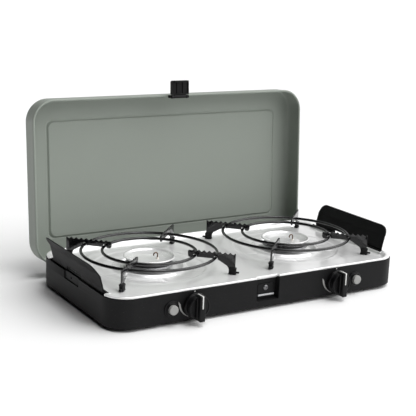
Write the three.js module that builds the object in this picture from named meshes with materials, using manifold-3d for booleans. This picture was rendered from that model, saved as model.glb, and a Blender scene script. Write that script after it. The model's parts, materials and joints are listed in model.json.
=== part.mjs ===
// Two-burner camping stove with a hinged lid, two folding windshields, two pan supports,
// two gas taps with piezo igniters and the gas rail, as separate solids.
// Millimetres, +Z up. The stove is drawn about the middle of its body, with the feet on z = 0,
// and the finished group is moved so that its origin is the middle of its overall footprint.

import * as THREE from 'three';
import { mergeVertices } from 'three/addons/utils/BufferGeometryUtils.js';
import Module from 'manifold-3d';

const wasm = await Module();
wasm.setup();

// ---- Overall sizes -----------------------------------------------------------------------
const BODY_WIDTH = 510;
const BODY_DEPTH = 262;
const BODY_HEIGHT = 43;
const CORNER_RADIUS = 36;
const FOOT_HEIGHT = 5;
const LID_DEPTH = 35.5;
const LID_LEAN = 3.56; // degrees past upright when the lid rests on its stop

// ---- Clearances --------------------------------------------------------------------------
const TOUCH = 0.3; // between pieces that rest against each other
const RUNNING = 0.15; // radial, between a pin and its bore
const SLIDING = 0.3; // round a piece that slides

// ---- Sheet metal -------------------------------------------------------------------------
const BODY_SHEET = 1.2;
const TRAY_SHEET = 1.2;
const LID_SHEET = 1;
const BASE_SHEET = 1.2;
const SHIELD_SHEET = 1.2;
const ARM_PLATE = 2.2;

// ---- Body --------------------------------------------------------------------------------
const BODY_BOTTOM = FOOT_HEIGHT;
const BODY_TOP = BODY_BOTTOM + BODY_HEIGHT;
const HALF_WIDTH = BODY_WIDTH / 2;
const HALF_DEPTH = BODY_DEPTH / 2;
const FRONT = -HALF_DEPTH;
const BASE_FLANGE = 8; // turned in at the foot of the body wall
const POCKET_WIDTH = 38; // latch pocket in the front wall
const POCKET_DEPTH = 9;
const POCKET_BOTTOM = BODY_BOTTOM + 10;
const VENT_PLACES = [-24, -8, 8, 24]; // slots under each burner, across from its middle
const VENT_HALF_WIDTH = 2.5;
const VENT_HALF_LENGTH = 22;

// ---- Tray --------------------------------------------------------------------------------
const TRAY_RIM_HEIGHT = 3;
const TRAY_RIM_INSET = 0.8;
const TRAY_SIDE_INSET = 13; // pan wall, in from the body side
const TRAY_END_INSET = 5; // pan wall, in from the body front and back
const TRAY_DROP = 5.3; // floor below the top of the rim
const TRAY_PAN_RADIUS = 31;
const TRAY_FLOOR = BODY_TOP + TOUCH + TRAY_RIM_HEIGHT - TRAY_DROP;
const TRAY_TOP = BODY_TOP + TOUCH + TRAY_RIM_HEIGHT;
const WELL_RADIUS = 60;
const WELL_DEPTH = 4;

// ---- Burners and pan supports ------------------------------------------------------------
const BURNER_X = 127;
const BURNER_Y = 6;
const RING_RADIUS_OUTER = 103.5;
const RING_RADIUS_INNER = 71.5;
const RING_WIRE = 2.1;
const RING_HEIGHT = BODY_TOP + 21;
const ARM_INNER = 61;
const ARM_OUTER = 134;
const ARM_TOP = BODY_TOP + 30.5;
const ARM_LEG_INNER = 124;
const BOOT_HEIGHT = 9;
const DISH_RADIUS = 40;
const DISH_RIM = BODY_TOP + 14.5;
const NECK_RADIUS = 8.5;
const ELECTRODE_OFFSET = 12;
const ELECTRODE_Y = BURNER_Y - 4;
const ELECTRODE_HOLE = 3;

// ---- Gas and ignition --------------------------------------------------------------------
const TAP_HEIGHT = BODY_BOTTOM + 21.5;
const KNOB_RADIUS = 19;
const KNOB_PUSH = 3;
const GRIP_HALF = 4.5;
const GRIP_CORNER = 2.6;
const GRIP_REACH = 20.5; // from the back of the knob to the end of its grip
const RAIL_RADIUS = 3.5;
const RAIL_Y = FRONT + 19;
const RAIL_Z = BODY_BOTTOM + 8;
const RAIL_RIGHT = HALF_WIDTH - 40;
const IGNITER_X = 164;
const IGNITER_Z = BODY_BOTTOM + 20.5;
const BUTTON_RADIUS = 6.9;
const BUTTON_TRAVEL = 5;

// ---- Lid, hinges, latch ------------------------------------------------------------------
const HINGE_Y = HALF_DEPTH - 9.7;
const HINGE_Z = BODY_TOP - 16;
const HINGE_X = 150;
const HINGE_STRAP = 2.5;
const HINGE_WIDTH = 18;
const HINGE_PIN = 2;
const LID_OPEN = 90 + LID_LEAN;
const LID_WIDTH = BODY_WIDTH - 2;
const LID_RIM = TRAY_TOP + 0.5;
const LATCH_WIDTH = 33;
const LATCH_LENGTH = 26.5;
const LATCH_PIN = 1.1;
const LATCH_DROP = 8.8; // pin below the lid's rim

// ---- Windshields -------------------------------------------------------------------------
const SHIELD_X = HALF_WIDTH - 6;
const SHIELD_Z = BODY_TOP + 1.5;
const SHIELD_FRONT = -92;
const SHIELD_BACK = 84;
const SHIELD_PANEL = 24.5;
const SHIELD_LIP = 17.5;
const SHIELD_PANEL_LEAN = 14;
const SHIELD_LIP_LEAN = 33;
const SHIELD_BARREL = 2.6;
const SHIELD_ROD = 1.3;
const SHIELD_LUG = 4; // thickness of the ear at each end of the rod
const SHIELD_ROD_HEAD = 1;
const SHIELD_END = SHIELD_LUG + SHIELD_ROD_HEAD + 2 * TOUCH; // ear and rod head beyond the sheet
const SHIELD_CORNER = 20;
const SHIELD_WINDOW_FRONT = -20; // gap in the curl round the rod
const SHIELD_WINDOW_BACK = 30;

const ROUND = 16; // sides of a small turned piece
const BURNER_ROUND = 24; // sides of a burner
const rad = THREE.MathUtils.degToRad;

// ---- Making solids -----------------------------------------------------------------------

// A three.js geometry as a solid that can be cut and joined.
function solid(geometry, matrix) {
  const copy = geometry.index ? geometry.toNonIndexed() : geometry.clone();
  for (const name of Object.keys(copy.attributes)) {
    if (name !== 'position') copy.deleteAttribute(name);
  }
  if (matrix) copy.applyMatrix4(matrix);
  const merged = mergeVertices(copy, 1e-4);
  const made = new wasm.Manifold(new wasm.Mesh({
    numProp: 3,
    vertProperties: Float32Array.from(merged.attributes.position.array),
    triVerts: Uint32Array.from(merged.index.array),
  }));
  return made;
}

function geometryOf(manifold) {
  const mesh = manifold.getMesh();
  const geometry = new THREE.BufferGeometry();
  geometry.setAttribute('position', new THREE.BufferAttribute(mesh.vertProperties, mesh.numProp));
  geometry.setIndex(new THREE.BufferAttribute(mesh.triVerts, 1));
  return geometry;
}

const joined = (...solids) => solids.reduce((sum, next) => sum.add(next));
const cut = (from, ...tools) => tools.reduce((rest, tool) => rest.subtract(tool), from);

// Outlines drawn flat, then carried along one of the stove's axes.
const alongZ = (z) => new THREE.Matrix4().makeTranslation(0, 0, z);
const alongX = (x) => new THREE.Matrix4()
  .makeBasis(new THREE.Vector3(0, 1, 0), new THREE.Vector3(0, 0, 1), new THREE.Vector3(1, 0, 0))
  .setPosition(x, 0, 0);
const alongY = (y) => new THREE.Matrix4()
  .makeBasis(new THREE.Vector3(1, 0, 0), new THREE.Vector3(0, 0, 1), new THREE.Vector3(0, -1, 0))
  .setPosition(0, y, 0);

function extruded(shape, depth, matrix, curveSegments = 3) {
  const geometry = new THREE.ExtrudeGeometry(shape, { depth, bevelEnabled: false, curveSegments });
  return solid(geometry, matrix);
}
const prismZ = (shape, z0, z1, segments) => extruded(shape, z1 - z0, alongZ(z0), segments);
const prismX = (shape, x0, x1, segments) => extruded(shape, x1 - x0, alongX(x0), segments);
const prismY = (shape, y0, y1, segments) => extruded(shape, y1 - y0, alongY(y1), segments);

function box(x0, x1, y0, y1, z0, z1) {
  const geometry = new THREE.BoxGeometry(x1 - x0, y1 - y0, z1 - z0);
  return solid(geometry, new THREE.Matrix4().makeTranslation((x0 + x1) / 2, (y0 + y1) / 2, (z0 + z1) / 2));
}

// Round pieces: a list of [radius, height] turned about an axis that points along +Z, +X or +Y.
const AXIS_TURN = {
  z: new THREE.Matrix4().makeRotationX(Math.PI / 2),
  y: new THREE.Matrix4(),
  x: new THREE.Matrix4().makeRotationZ(-Math.PI / 2),
};
function turned(profile, axis, x, y, z, segments = ROUND) {
  const points = profile.map(([radius, height]) => new THREE.Vector2(radius, height));
  const matrix = new THREE.Matrix4().makeTranslation(x, y, z).multiply(AXIS_TURN[axis]);
  const made = solid(new THREE.LatheGeometry(points, segments), matrix);
  return made;
}
const rod = (radius, from, to, axis, x, y, z, segments = ROUND) => turned(
  [[0, from], [radius, from], [radius, to], [0, to]], axis, x, y, z, segments);

// A round wire or pipe along a smooth line through points.
function wire(points, radius, sides, steps) {
  const curve = new THREE.CatmullRomCurve3(points.map((point) => new THREE.Vector3(...point)));
  return pipe(curve, radius, sides, steps);
}
// A full circle takes two points for each curve segment.
function pipe(curve, radius, sides, steps) {
  const section = new THREE.Shape();
  section.absarc(0, 0, radius, 0, 2 * Math.PI, false);
  const geometry = new THREE.ExtrudeGeometry(section, {
    steps, curveSegments: sides / 2, extrudePath: curve, bevelEnabled: false,
  });
  return solid(geometry);
}

function roundedRect(halfWidth, halfHeight, radius, cx = 0, cy = 0) {
  const shape = new THREE.Shape();
  const r = radius;
  shape.moveTo(cx - halfWidth + r, cy - halfHeight);
  shape.lineTo(cx + halfWidth - r, cy - halfHeight);
  shape.absarc(cx + halfWidth - r, cy - halfHeight + r, r, -Math.PI / 2, 0, false);
  shape.lineTo(cx + halfWidth, cy + halfHeight - r);
  shape.absarc(cx + halfWidth - r, cy + halfHeight - r, r, 0, Math.PI / 2, false);
  shape.lineTo(cx - halfWidth + r, cy + halfHeight);
  shape.absarc(cx - halfWidth + r, cy + halfHeight - r, r, Math.PI / 2, Math.PI, false);
  shape.lineTo(cx - halfWidth, cy - halfHeight + r);
  shape.absarc(cx - halfWidth + r, cy - halfHeight + r, r, Math.PI, 1.5 * Math.PI, false);
  return shape;
}
function outline(points) {
  return new THREE.Shape(points.map(([a, b]) => new THREE.Vector2(a, b)));
}

// ---- Materials ---------------------------------------------------------------------------
const material = (color, roughness, metalness) => () => new THREE.MeshStandardMaterial({
  color, roughness, metalness,
});
const blackPaint = material(0x232425, 0.55, 0.1);
const sagePaint = material(0x8f978d, 0.5, 0.1);
const stainless = material(0xdcdcdc, 0.22, 1);
const aluminium = material(0xc9cacb, 0.35, 1);
const enamel = material(0x121214, 0.25, 0.1);
const rubber = material(0x1a1a1b, 0.85, 0);
const blackPlastic = material(0x161617, 0.5, 0);
const greyPlastic = material(0xa0a0a0, 0.45, 0);
const brass = material(0xb5914c, 0.35, 1);
const zincSteel = material(0xa6a8aa, 0.4, 1);
const ceramic = material(0xe8e4da, 0.4, 0);
const leadRubber = material(0x8f2a22, 0.7, 0);

function place(parent, name, manifold, makeMaterial) {
  const mesh = new THREE.Mesh(geometryOf(manifold), makeMaterial());
  mesh.name = name;
  parent.add(mesh);
  return mesh;
}

const SIDES = [
  { name: 'left', sign: -1 },
  { name: 'right', sign: 1 },
];

const stove = new THREE.Group();

// ---- Body shell --------------------------------------------------------------------------
const SIDE_RECESS = { y0: -17, y1: 33, z0: BODY_TOP - 12, depth: 2 };
const HINGE_SLOT_HALF = HINGE_WIDTH / 2 + 1.2;
const HINGE_REACH = HALF_DEPTH + TOUCH + HINGE_STRAP - HINGE_Y; // axis to the strap's outer face

// Height at which the opened strap crosses the rear wall, where it comes to rest.
function strapRestHeight() {
  const turn = rad(LID_OPEN);
  const alongStrap = (HALF_DEPTH - HINGE_Y - HINGE_REACH * Math.cos(turn)) / Math.sin(turn);
  return HINGE_Z - HINGE_REACH * Math.sin(turn) + alongStrap * Math.cos(turn);
}

function bodyShell() {
  const inner = (inset) => roundedRect(HALF_WIDTH - inset, HALF_DEPTH - inset, CORNER_RADIUS - inset);
  const pocketHalf = POCKET_WIDTH / 2;
  const pocketBack = FRONT + POCKET_DEPTH;
  let shell = cut(
    prismZ(inner(0), BODY_BOTTOM, BODY_TOP),
    prismZ(inner(BODY_SHEET), BODY_BOTTOM + BODY_SHEET, BODY_TOP + 1),
    prismZ(inner(BASE_FLANGE), BODY_BOTTOM - 1, BODY_TOP + 1),
  );
  shell = joined(
    shell,
    box(-pocketHalf - BODY_SHEET, pocketHalf + BODY_SHEET, FRONT + BODY_SHEET / 2,
      pocketBack + BODY_SHEET, POCKET_BOTTOM - BODY_SHEET, TRAY_FLOOR - TRAY_SHEET - TOUCH),
  );
  shell = cut(shell, box(-pocketHalf, pocketHalf, FRONT - 1, pocketBack, POCKET_BOTTOM, BODY_TOP + 1));
  for (const { sign } of SIDES) {
    shell = cut(
      shell,
      rod(5, -4, 4, 'y', sign * BURNER_X, FRONT, TAP_HEIGHT),
      rod(9.8, -4, 4, 'y', sign * IGNITER_X, FRONT, IGNITER_Z),
      box(sign * HINGE_X - HINGE_SLOT_HALF, sign * HINGE_X + HINGE_SLOT_HALF, HALF_DEPTH - 4,
        HALF_DEPTH + 4, strapRestHeight() - TOUCH, HINGE_Z + 3),
    );
    shell = withSideRecess(shell, sign);
    shell = joined(shell, shieldLug(sign, SHIELD_FRONT - TOUCH - SHIELD_LUG), shieldLug(sign, SHIELD_BACK + TOUCH));
  }
  shell = cut(shell, rod(7, -4, 4, 'y', RAIL_RIGHT, HALF_DEPTH, RAIL_Z));
  return shell;
}

// A shallow panel pressed into the side wall, with a slot at its front end and a small hole.
function withSideRecess(shell, sign) {
  const face = sign * HALF_WIDTH;
  const { y0, y1, z0, depth } = SIDE_RECESS;
  const between = (a, b) => [Math.min(a, b), Math.max(a, b)];
  const behind = between(face - sign * (depth + BODY_SHEET), face - sign * BODY_SHEET / 2);
  const hollow = between(face - sign * depth, face + sign);
  const through = between(face - sign * (depth + 3), face + sign);
  const sheet = BODY_SHEET;
  return cut(
    joined(shell, box(behind[0], behind[1], y0 - sheet, y1 + sheet, z0 - sheet, BODY_TOP)),
    box(hollow[0], hollow[1], y0, y1, z0, BODY_TOP + 1),
    box(through[0], through[1], y0, y0 + 4, z0, BODY_TOP - 2),
    rod(1.6, -5, 5, 'x', face, 12, z0 + 5),
  );
}

// An ear inside the body's side edge that holds one end of the windshield rod.
function shieldLug(sign, y0) {
  const x0 = Math.min(sign * (SHIELD_X - 3), sign * (HALF_WIDTH - 2.4));
  const x1 = Math.max(sign * (SHIELD_X - 3), sign * (HALF_WIDTH - 2.4));
  const foot0 = Math.min(sign * (SHIELD_X - 3), sign * (HALF_WIDTH - BODY_SHEET / 2));
  const foot1 = Math.max(sign * (SHIELD_X - 3), sign * (HALF_WIDTH - BODY_SHEET / 2));
  return cut(
    joined(
      box(x0, x1, y0, y0 + SHIELD_LUG, BODY_TOP - 7, SHIELD_Z + 1.9),
      box(foot0, foot1, y0, y0 + SHIELD_LUG, BODY_TOP - 7, BODY_TOP - 0.4),
    ),
    rod(SHIELD_ROD + RUNNING, -SHIELD_LUG, 2 * SHIELD_LUG, 'y', sign * SHIELD_X, y0, SHIELD_Z),
  );
}
place(stove, 'body_shell', bodyShell(), blackPaint);

// ---- Base plate and feet -----------------------------------------------------------------
const FOOT_X = 222;
const FOOT_Y = 102;
const FOOT_STEM = 3;
const BASE_Z = BODY_BOTTOM + BODY_SHEET + TOUCH;

function basePlate() {
  const inset = BODY_SHEET + TOUCH;
  const plate = prismZ(roundedRect(HALF_WIDTH - inset, HALF_DEPTH - inset, CORNER_RADIUS - inset),
    BASE_Z, BASE_Z + BASE_SHEET);
  const holes = [];
  for (const { sign } of SIDES) {
    for (const side of [-1, 1]) {
      holes.push(rod(FOOT_STEM + TOUCH, -4, 4, 'z', sign * FOOT_X, side * FOOT_Y, BASE_Z, 12));
    }
    for (const offset of VENT_PLACES) {
      const middle = sign * BURNER_X + offset;
      const vent = roundedRect(VENT_HALF_WIDTH, VENT_HALF_LENGTH, VENT_HALF_WIDTH, middle, BURNER_Y);
      holes.push(prismZ(vent, BASE_Z - 1, BASE_Z + BASE_SHEET + 1, 2));
    }
  }
  return cut(plate, ...holes);
}
place(stove, 'base_plate', basePlate(), blackPaint);

for (const { name, sign } of SIDES) {
  for (const [end, side] of [['front', -1], ['rear', 1]]) {
    const top = BASE_Z - TOUCH;
    const head = BASE_Z + BASE_SHEET + TOUCH;
    const foot = turned([
      [0, 0], [7.4, 0], [8.6, 1.2], [9, top], [FOOT_STEM, top], [FOOT_STEM, head],
      [FOOT_STEM + 1.6, head], [FOOT_STEM, head + 2.4], [0, head + 2.4],
    ], 'z', sign * FOOT_X, side * FOOT_Y, 0, 14);
    place(stove, `foot_${end}_${name}`, foot, rubber);
  }
}

// ---- Cooking tray ------------------------------------------------------------------------
const PAN_HALF_X = HALF_WIDTH - TRAY_SIDE_INSET;
const PAN_HALF_Y = HALF_DEPTH - TRAY_END_INSET;
const WELL_FLOOR = TRAY_FLOOR - WELL_DEPTH;
const NECK_HOLE = 15.8;

function cookingTray() {
  const rim = prismZ(roundedRect(HALF_WIDTH - TRAY_RIM_INSET, HALF_DEPTH - TRAY_RIM_INSET,
    CORNER_RADIUS - TRAY_RIM_INSET), TRAY_TOP - TRAY_RIM_HEIGHT, TRAY_TOP);
  const pan = prismZ(roundedRect(PAN_HALF_X, PAN_HALF_Y, TRAY_PAN_RADIUS),
    TRAY_FLOOR - TRAY_SHEET, TRAY_TOP - 1);
  const hollow = prismZ(roundedRect(PAN_HALF_X - TRAY_SHEET, PAN_HALF_Y - TRAY_SHEET,
    TRAY_PAN_RADIUS - TRAY_SHEET), TRAY_FLOOR, TRAY_TOP + 1);
  let tray = joined(rim, pan);
  for (const { sign } of SIDES) {
    tray = tray.add(turned([
      [0, WELL_FLOOR - TRAY_SHEET], [WELL_RADIUS - 7, WELL_FLOOR - TRAY_SHEET],
      [WELL_RADIUS + 1, TRAY_FLOOR - 0.4], [0, TRAY_FLOOR - 0.4],
    ], 'z', sign * BURNER_X, BURNER_Y, 0, 28));
  }
  tray = tray.subtract(hollow);
  for (const { sign } of SIDES) {
    const x = sign * BURNER_X;
    const edge0 = Math.min(sign * (SHIELD_X - 4.2), sign * (HALF_WIDTH + 2));
    const edge1 = Math.max(sign * (SHIELD_X - 4.2), sign * (HALF_WIDTH + 2));
    tray = cut(
      tray,
      turned([
        [0, WELL_FLOOR], [WELL_RADIUS - 7, WELL_FLOOR], [WELL_RADIUS, TRAY_FLOOR], [WELL_RADIUS, TRAY_TOP],
        [0, TRAY_TOP],
      ], 'z', x, BURNER_Y, 0, 28),
      rod(NECK_HOLE, -8, 8, 'z', x, BURNER_Y, WELL_FLOOR, 20),
      box(edge0, edge1, SHIELD_FRONT - SHIELD_END - TOUCH, SHIELD_BACK + SHIELD_END + TOUCH,
        TRAY_FLOOR - 4, TRAY_TOP + 4),
    );
  }
  const notch = POCKET_WIDTH / 2;
  return cut(tray, box(-notch, notch, FRONT - 1, FRONT + 5.4, BODY_TOP - 1, TRAY_TOP + 1));
}
place(stove, 'cooking_tray', cookingTray(), stainless);

// ---- Pan supports ------------------------------------------------------------------------
const FOOT_BOTTOM = TRAY_FLOOR + TOUCH;
const ARM_FOOT = FOOT_BOTTOM + 1.2; // steel foot, inside its rubber boot
const TEETH = 8;

function ringSolid(radius) {
  const sides = 6;
  const profile = [];
  for (let i = 0; i <= sides; i += 1) {
    const angle = (2 * Math.PI * (i + 0.5)) / sides;
    profile.push([radius + RING_WIRE * Math.cos(angle), RING_HEIGHT + RING_WIRE * Math.sin(angle)]);
  }
  return turned(profile, 'z', 0, 0, 0, 40);
}

// One arm in its own upright plane, radius across and height up.
function armOutline() {
  const points = [
    [ARM_INNER, RING_HEIGHT - 1.4], [ARM_INNER + 4, RING_HEIGHT - 0.6],
    [ARM_INNER + 8, RING_HEIGHT + 0.4], [103, RING_HEIGHT - 0.2],
    [107, RING_HEIGHT - 2], [ARM_LEG_INNER - 1, 57.5], [ARM_LEG_INNER, 55],
    [ARM_LEG_INNER + 2, ARM_FOOT], [ARM_OUTER - 0.6, ARM_FOOT],
    [ARM_OUTER, 58], [ARM_OUTER, ARM_TOP],
  ];
  const pitch = (ARM_OUTER - 5 - ARM_INNER) / TEETH;
  for (let i = 0; i < TEETH; i += 1) {
    const crest = ARM_OUTER - 2 - i * pitch;
    points.push([crest, ARM_TOP], [crest - pitch * 0.3, ARM_TOP - 1.5]);
    points.push([crest - pitch * 0.7, ARM_TOP - 1.5]);
  }
  points.push([ARM_INNER + 3, ARM_TOP - 0.6], [ARM_INNER + 0.6, ARM_TOP - 2.6]);
  points.push([ARM_INNER - 0.6, RING_HEIGHT + 3]);
  return outline(points);
}
const ARM_ANGLES = [45, 135, 225, 315];

function turnedAbout(manifold, degrees, x, y) {
  return manifold.rotate([0, 0, degrees]).translate([x, y, 0]);
}
// The outline stands in the XZ plane and is as thick as the plate, centred on y = 0.
const armPlate = () => prismY(armOutline(), -ARM_PLATE / 2, ARM_PLATE / 2);

function panSupport(sign) {
  const rings = joined(ringSolid(RING_RADIUS_OUTER), ringSolid(RING_RADIUS_INNER));
  const plate = armPlate();
  const arms = ARM_ANGLES.map((angle) => turnedAbout(plate, angle, 0, 0));
  return joined(rings, ...arms).translate([sign * BURNER_X, BURNER_Y, 0]);
}

// A soft boot with a socket for the steel foot and a small tab towards the outside.
function supportBoot(sign, angle) {
  const half = 4;
  const middle = (ARM_LEG_INNER + ARM_OUTER) / 2 + 1;
  const reach = (ARM_OUTER - ARM_LEG_INNER) / 2 + 1.6;
  const block = prismZ(roundedRect(reach, half, 2.5, middle, 0), FOOT_BOTTOM, FOOT_BOTTOM + BOOT_HEIGHT, 1);
  const tab = box(middle + reach - 1, middle + reach + 3, -1.6, 1.6, FOOT_BOTTOM + 2, FOOT_BOTTOM + 4);
  const socket = prismY(armOutline(), -ARM_PLATE / 2 - TOUCH, ARM_PLATE / 2 + TOUCH);
  const grown = joined(socket, socket.translate([TOUCH, 0, 0]), socket.translate([-TOUCH, 0, 0]),
    socket.translate([0, 0, -TOUCH]));
  return turnedAbout(cut(joined(block, tab), grown), angle, sign * BURNER_X, BURNER_Y);
}

for (const { name, sign } of SIDES) {
  place(stove, `pan_support_${name}`, panSupport(sign), enamel);
  ARM_ANGLES.forEach((angle, index) => {
    place(stove, `support_boot_${name}_${index + 1}`, supportBoot(sign, angle), rubber);
  });
}

// ---- Burners -----------------------------------------------------------------------------
const HEAD_Z = BODY_TOP + 3;
const POST_TOP = HEAD_Z + 4;
const POST_RADIUS = 2;
const POST_CIRCLE = 25;
const TUBE_RADIUS = 6.2;

function burnerBase(x) {
  const neck = turned([
    [0, 14], [NECK_RADIUS, 14], [NECK_RADIUS, WELL_FLOOR + TOUCH], [19, WELL_FLOOR + TOUCH],
    [19, WELL_FLOOR + 2], [24, HEAD_Z - 3], [36, HEAD_Z - 1.6], [37, HEAD_Z], [34, HEAD_Z + 0.8],
    [24, HEAD_Z + 0.8], [10, HEAD_Z - 2], [NECK_RADIUS - 1.8, HEAD_Z - 3], [NECK_RADIUS - 1.8, 16], [0, 16],
  ], 'z', x, BURNER_Y, 0, BURNER_ROUND);
  const posts = [0, 90, 180, 270].map((degrees) => rod(POST_RADIUS, HEAD_Z, POST_TOP, 'z',
    x + POST_CIRCLE * Math.cos(rad(degrees + 15)), BURNER_Y + POST_CIRCLE * Math.sin(rad(degrees + 15)),
    0, 8));
  return cut(
    joined(neck, ...posts),
    rod(TUBE_RADIUS + TOUCH, -20, -2, 'y', x, BURNER_Y, TAP_HEIGHT),
    rod(ELECTRODE_HOLE, -30, 30, 'z', x + ELECTRODE_OFFSET, ELECTRODE_Y, HEAD_Z, 16),
  );
}

function burnerDish(x) {
  const sheet = 1.3;
  const dish = turned([
    [0, POST_TOP + TOUCH], [24, POST_TOP + TOUCH], [32, POST_TOP + 2], [DISH_RADIUS - 1.4, DISH_RIM - 1.6],
    [DISH_RADIUS, DISH_RIM - 0.6], [DISH_RADIUS - 0.4, DISH_RIM], [DISH_RADIUS - 2.2, DISH_RIM - 0.4],
    [31.4, POST_TOP + TOUCH + 2.7], [23.6, POST_TOP + TOUCH + sheet], [0, POST_TOP + TOUCH + sheet],
  ], 'z', x, BURNER_Y, 0, BURNER_ROUND);
  return dish.subtract(rod(ELECTRODE_HOLE, -10, 10, 'z', x + ELECTRODE_OFFSET, ELECTRODE_Y, POST_TOP, 16));
}

// A horizontal venturi tube with a flared mouth that faces the tap's jet.
function mixingTube(x) {
  const front = FRONT + 38;
  const back = BURNER_Y - 4.5;
  const wall = 1.2;
  return turned([
    [TUBE_RADIUS + 3, front], [TUBE_RADIUS, front + 8], [TUBE_RADIUS, back],
    [TUBE_RADIUS - wall, back], [TUBE_RADIUS - wall, front + 8], [TUBE_RADIUS + 3 - wall, front],
    [TUBE_RADIUS + 3, front],
  ], 'y', x, 0, TAP_HEIGHT);
}

function electrode(x) {
  const at = x + ELECTRODE_OFFSET;
  const y = BURNER_Y - 4;
  const insulator = turned([
    [0, 24], [1.6, 24], [2.4, 27], [2.4, 48], [1.8, 58.5], [0, 58.5],
  ], 'z', at, y, 0, 14);
  const hook = wire([
    [at, y, 57.5], [at, y, 61], [at - 0.6, y, 64], [at - 2.6, y, 65.6], [at - 5, y, 64.6], [at - 6.4, y, 62.6],
  ], 0.7, 6, 10);
  return joined(insulator, hook);
}

for (const { name, sign } of SIDES) {
  const x = sign * BURNER_X;
  place(stove, `burner_base_${name}`, burnerBase(x), aluminium);
  place(stove, `burner_dish_${name}`, burnerDish(x), stainless);
  place(stove, `mixing_tube_${name}`, mixingTube(x), aluminium);
  place(stove, `ignition_electrode_${name}`, electrode(x), ceramic);
}

// ---- Taps and knobs ----------------------------------------------------------------------
const PLUG_RADIUS = 5;
const STEM_RADIUS = 3;
const STEM_TANG = 1.5; // half the square of the stem's inner end

function valveBody(x) {
  const block = prismY(roundedRect(8.5, 9.5, 3, x, TAP_HEIGHT - 0.5), FRONT + 5, RAIL_Y + 8, 2);
  const saddle = prismY(roundedRect(8.5, 6.5, 2, x, RAIL_Z + 1.6), RAIL_Y - 6, RAIL_Y + 6, 2);
  const jet = turned([
    [0, RAIL_Y + 7], [6, RAIL_Y + 7], [6, RAIL_Y + 9], [3.4, RAIL_Y + 13], [2.2, RAIL_Y + 17], [0, RAIL_Y + 17],
  ], 'y', x, 0, TAP_HEIGHT);
  return cut(
    joined(block, saddle, jet),
    rod(PLUG_RADIUS + RUNNING, FRONT, RAIL_Y - 2, 'y', x, 0, TAP_HEIGHT),
    rod(0.9, RAIL_Y - 4, RAIL_Y + 20, 'y', x, 0, TAP_HEIGHT, 10),
    rod(RAIL_RADIUS + TOUCH, -12, 12, 'x', x, RAIL_Y, RAIL_Z),
  );
}

// The tapered gas plug turns with the stem; the stem's square tang slides in its end.
function tapPlug(x) {
  const socket = STEM_TANG + SLIDING;
  return cut(
    rod(PLUG_RADIUS, FRONT + 6, RAIL_Y - 2 - TOUCH, 'y', x, 0, TAP_HEIGHT),
    box(x - socket, x + socket, FRONT + 5, RAIL_Y - 5, TAP_HEIGHT - socket, TAP_HEIGHT + socket),
  );
}

function valveStem(x) {
  const shoulder = FRONT + 6 - KNOB_PUSH - 0.6;
  const tang = STEM_TANG;
  return joined(
    rod(STEM_RADIUS, FRONT - 20, shoulder, 'y', x, 0, TAP_HEIGHT),
    box(x - tang, x + tang, shoulder - 1, FRONT + 9, TAP_HEIGHT - tang, TAP_HEIGHT + tang),
  );
}

const KNOB_BACK = FRONT - KNOB_PUSH - 0.6;
function tapKnob(x) {
  const skirt = turned([
    [0, KNOB_BACK - 12], [KNOB_RADIUS - 3.2, KNOB_BACK - 12], [KNOB_RADIUS - 2.4, KNOB_BACK - 11],
    [KNOB_RADIUS - 1, KNOB_BACK - 4], [KNOB_RADIUS, KNOB_BACK - 3], [KNOB_RADIUS, KNOB_BACK],
    [0, KNOB_BACK],
  ], 'y', x, 0, TAP_HEIGHT, 26);
  const grip = prismY(roundedRect(GRIP_HALF, KNOB_RADIUS, GRIP_CORNER, x, TAP_HEIGHT),
    KNOB_BACK - GRIP_REACH, KNOB_BACK - 4, 2);
  return cut(joined(skirt, grip), rod(STEM_RADIUS + RUNNING, FRONT - 20 - TOUCH, FRONT, 'y', x, 0, TAP_HEIGHT));
}

for (const { name, sign } of SIDES) {
  const x = sign * BURNER_X;
  place(stove, `valve_body_${name}`, valveBody(x), brass);
  place(stove, `tap_plug_${name}`, tapPlug(x), brass);
  place(stove, `valve_stem_${name}`, valveStem(x), zincSteel);
  place(stove, `knob_${name}`, tapKnob(x), blackPlastic);
}

// ---- Gas rail and inlet ------------------------------------------------------------------
const RAIL_BEND = 14;
const INLET_START = HALF_DEPTH - 12;

function gasRail() {
  const turn = new THREE.QuadraticBezierCurve3(
    new THREE.Vector3(RAIL_RIGHT - RAIL_BEND, RAIL_Y, RAIL_Z),
    new THREE.Vector3(RAIL_RIGHT, RAIL_Y, RAIL_Z),
    new THREE.Vector3(RAIL_RIGHT, RAIL_Y + RAIL_BEND, RAIL_Z),
  );
  return joined(
    rod(RAIL_RADIUS, -BURNER_X - 12, RAIL_RIGHT - RAIL_BEND + 0.2, 'x', 0, RAIL_Y, RAIL_Z, 12),
    pipe(turn, RAIL_RADIUS, 12, 8),
    rod(RAIL_RADIUS, RAIL_Y + RAIL_BEND - 0.2, INLET_START, 'y', RAIL_RIGHT, 0, RAIL_Z, 12),
  );
}
place(stove, 'gas_rail', gasRail(), zincSteel);

function inletBarb() {
  const wall = HALF_DEPTH + TOUCH;
  const barb = (at) => [[4.2, at], [5, at + 1], [5, at + 1.6]];
  return turned([
    [0, INLET_START + TOUCH], [4.8, INLET_START + TOUCH], [4.8, wall], [7, wall], [7, wall + 3], [4.2, wall + 4],
    ...barb(wall + 9), ...barb(wall + 14), [4.2, wall + 19], [3.4, wall + 21], [0, wall + 21],
  ], 'y', RAIL_RIGHT, 0, RAIL_Z, 14);
}
place(stove, 'gas_inlet_barb', inletBarb(), brass);

// ---- Igniters ----------------------------------------------------------------------------
const SLEEVE_BACK = FRONT + 9;
const PIEZO_FRONT = SLEEVE_BACK + TOUCH;
const PIEZO_BACK = PIEZO_FRONT + 36;
const BUTTON_FRONT = FRONT - 8.5;
const PLUNGER = 3;

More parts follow.
